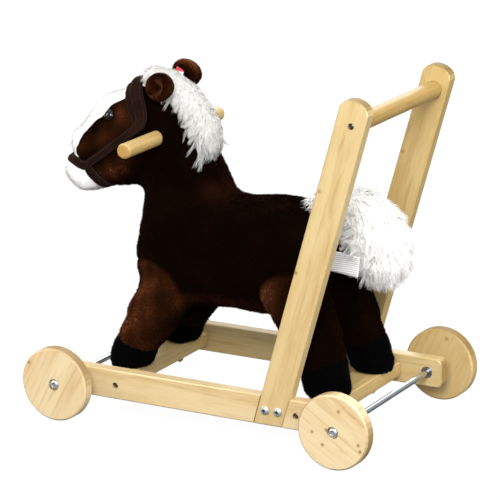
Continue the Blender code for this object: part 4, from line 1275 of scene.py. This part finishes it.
# ------------------------------------------------------------------ assembly
def make_horse():
    red, black_sheen = (0.85, 0.32, 0.18), (0.5, 0.5, 0.55)
    # Painted shade at the roots of the brown and black pile.
    shade = (0.6, 0.6, 0.6)
    white_ground = plush_ground("white_ground", WHITE_SHADE, WHITE_PILE, WHITE)
    piles = {
        "brown": pile_strands("brown_pile", [(0.0, BROWN_DARK), (0.7, BROWN_NAP_AND_PAINTED_SHEEN),
                                             (1.0, BROWN_PAINTED_HIGHLIGHT)], shade, red, 0.01),
        "white": pile_strands("white_pile", [(0.0, WHITE_SHADE), (0.6, WHITE_PILE)],
                              (0.95, 0.95, 0.94), WHITE),
        "black": pile_strands("black_pile", [(0.0, BLACK_PILE), (1.0, BLACK_NAP)], shade,
                              black_sheen, 0.01)}
    skin = make_skin(plush_ground("brown_ground", BROWN_DARK, BROWN_NAP_AND_PAINTED_SHEEN, red, True))
    whole = skin.data.copy()
    tree = tree_of(whole)
    split_hooves(skin, plush_ground("black_ground", BLACK_PILE, BLACK_NAP, black_sheen))
    dress_skin(whole, make_bridle(tree), piles)
    ear_ground = plush_ground("ear_ground", BROWN_DARK, BROWN_NAP_AND_PAINTED_SHEEN, red)
    eye = gloss_eye()
    ears = (Vector((0.0385, -0.1000, 0.4396)), Vector((-0.0390, -0.1030, 0.4440)))
    for (side, sign), centre in zip(SIDES, ears):
        make_ear(side, sign, centre, ear_ground, piles["brown"])
        make_eye(side, eye, tree)
    # Painted shade: the mane's locks are coloured darker than the tail's, as the shade among its
    # clumps.
    make_mane(white_ground, pile_strands(
        "mane_locks", [(0.0, (0.50, 0.49, 0.47)), (0.45, (0.66, 0.65, 0.63)),
                       (1.0, (0.80, 0.79, 0.77))], (0.82, 0.81, 0.78), WHITE, 0.1))
    make_tail(white_ground, pile_strands(
        "tail_locks", [(0.0, (0.84, 0.83, 0.80)), (0.45, (0.93, 0.92, 0.90)),
                       (1.0, (0.96, 0.955, 0.94))], (0.95, 0.94, 0.92), WHITE, 0.3))


def make_studio():
    """A white floor and dome, a sky that brightens upwards, and four lamps."""
    build = bmesh.new()
    bmesh.ops.create_grid(build, x_segments=1, y_segments=1, size=STUDIO_RADIUS)
    floor = piece_from(build, "studio_floor", lit_white("studio_floor", 0.94, 0.08))
    backdrop = piece_from(ball(32, 16, STUDIO_RADIUS), "studio_backdrop",
                          lit_white("studio_backdrop", 1.0, 0.0))
    for piece in (floor, backdrop):
        piece.visible_diffuse = piece.visible_glossy = False
        piece.visible_transmission = piece.visible_shadow = False
    scene = bpy.context.scene
    scene.world = bpy.data.worlds.new("studio")
    scene.world.use_nodes = True
    tree = scene.world.node_tree
    coords, parts, ramp = (tree.nodes.new("ShaderNode" + kind)
                           for kind in ("TexCoord", "SeparateXYZ", "MapRange"))
    for socket, value in (("From Min", -0.35), ("From Max", 0.9), ("To Min", 0.22),
                          ("To Max", 1.02)):
        ramp.inputs[socket].default_value = value
    sky = tree.nodes["Background"]
    sky.inputs["Color"].default_value = (1, 1, 1, 1)
    tree.links.new(coords.outputs["Generated"], parts.inputs[0])
    tree.links.new(parts.outputs["Z"], ramp.inputs["Value"])
    tree.links.new(ramp.outputs["Result"], sky.inputs["Strength"])
    aim = Vector((0, 0, 0.20))
    for name, place, size, power in (("key", (2.8, 1.36, 2.28), 1.76, 165.0),
                                     ("front", (1.3, -1.8, 1.2), 1.2, 22.0),
                                     ("rear", (0.5, 2.3, 1.0), 1.4, 34.0),
                                     ("rim", (-2.5, -0.6, 1.5), 1.6, 26.0)):
        lamp = bpy.data.lights.new(name, "AREA")
        lamp.energy, lamp.size = power, size
        light = link(name, lamp)
        light.location = place
        light.rotation_euler = (aim - Vector(place)).to_track_quat("-Z", "Y").to_euler()
        light.visible_camera = False
    scene.view_settings.view_transform = "Standard"


def make_camera():
    """A long lens behind the horse's left shoulder, a little above the handle."""
    lens = bpy.data.cameras.new("camera")
    lens.sensor_width, lens.lens = 36.0, 199.8
    lens.shift_x, lens.shift_y = -0.0046, -0.0036
    lens.clip_end = 60.0
    camera = link("camera", lens)
    back = Vector((0.84110, 0.46873, 0.26988)).normalized()
    roll = math.radians(-0.57)
    right = Vector(Z).cross(back).normalized()
    turned = right * math.cos(roll) + back.cross(right) * math.sin(roll)
    turn = Matrix((turned, back.cross(turned), back)).transposed().to_4x4()
    place = Vector((3.1039, 1.7334 + AXLE_MIDDLE_Y, 1.2208))
    camera.matrix_world = Matrix.Translation(place) @ turn
    bpy.context.scene.camera = camera


make_camera()
make_studio()
dress_frame()
dress_hardware()
make_bolts()
make_horse()
make_labels()
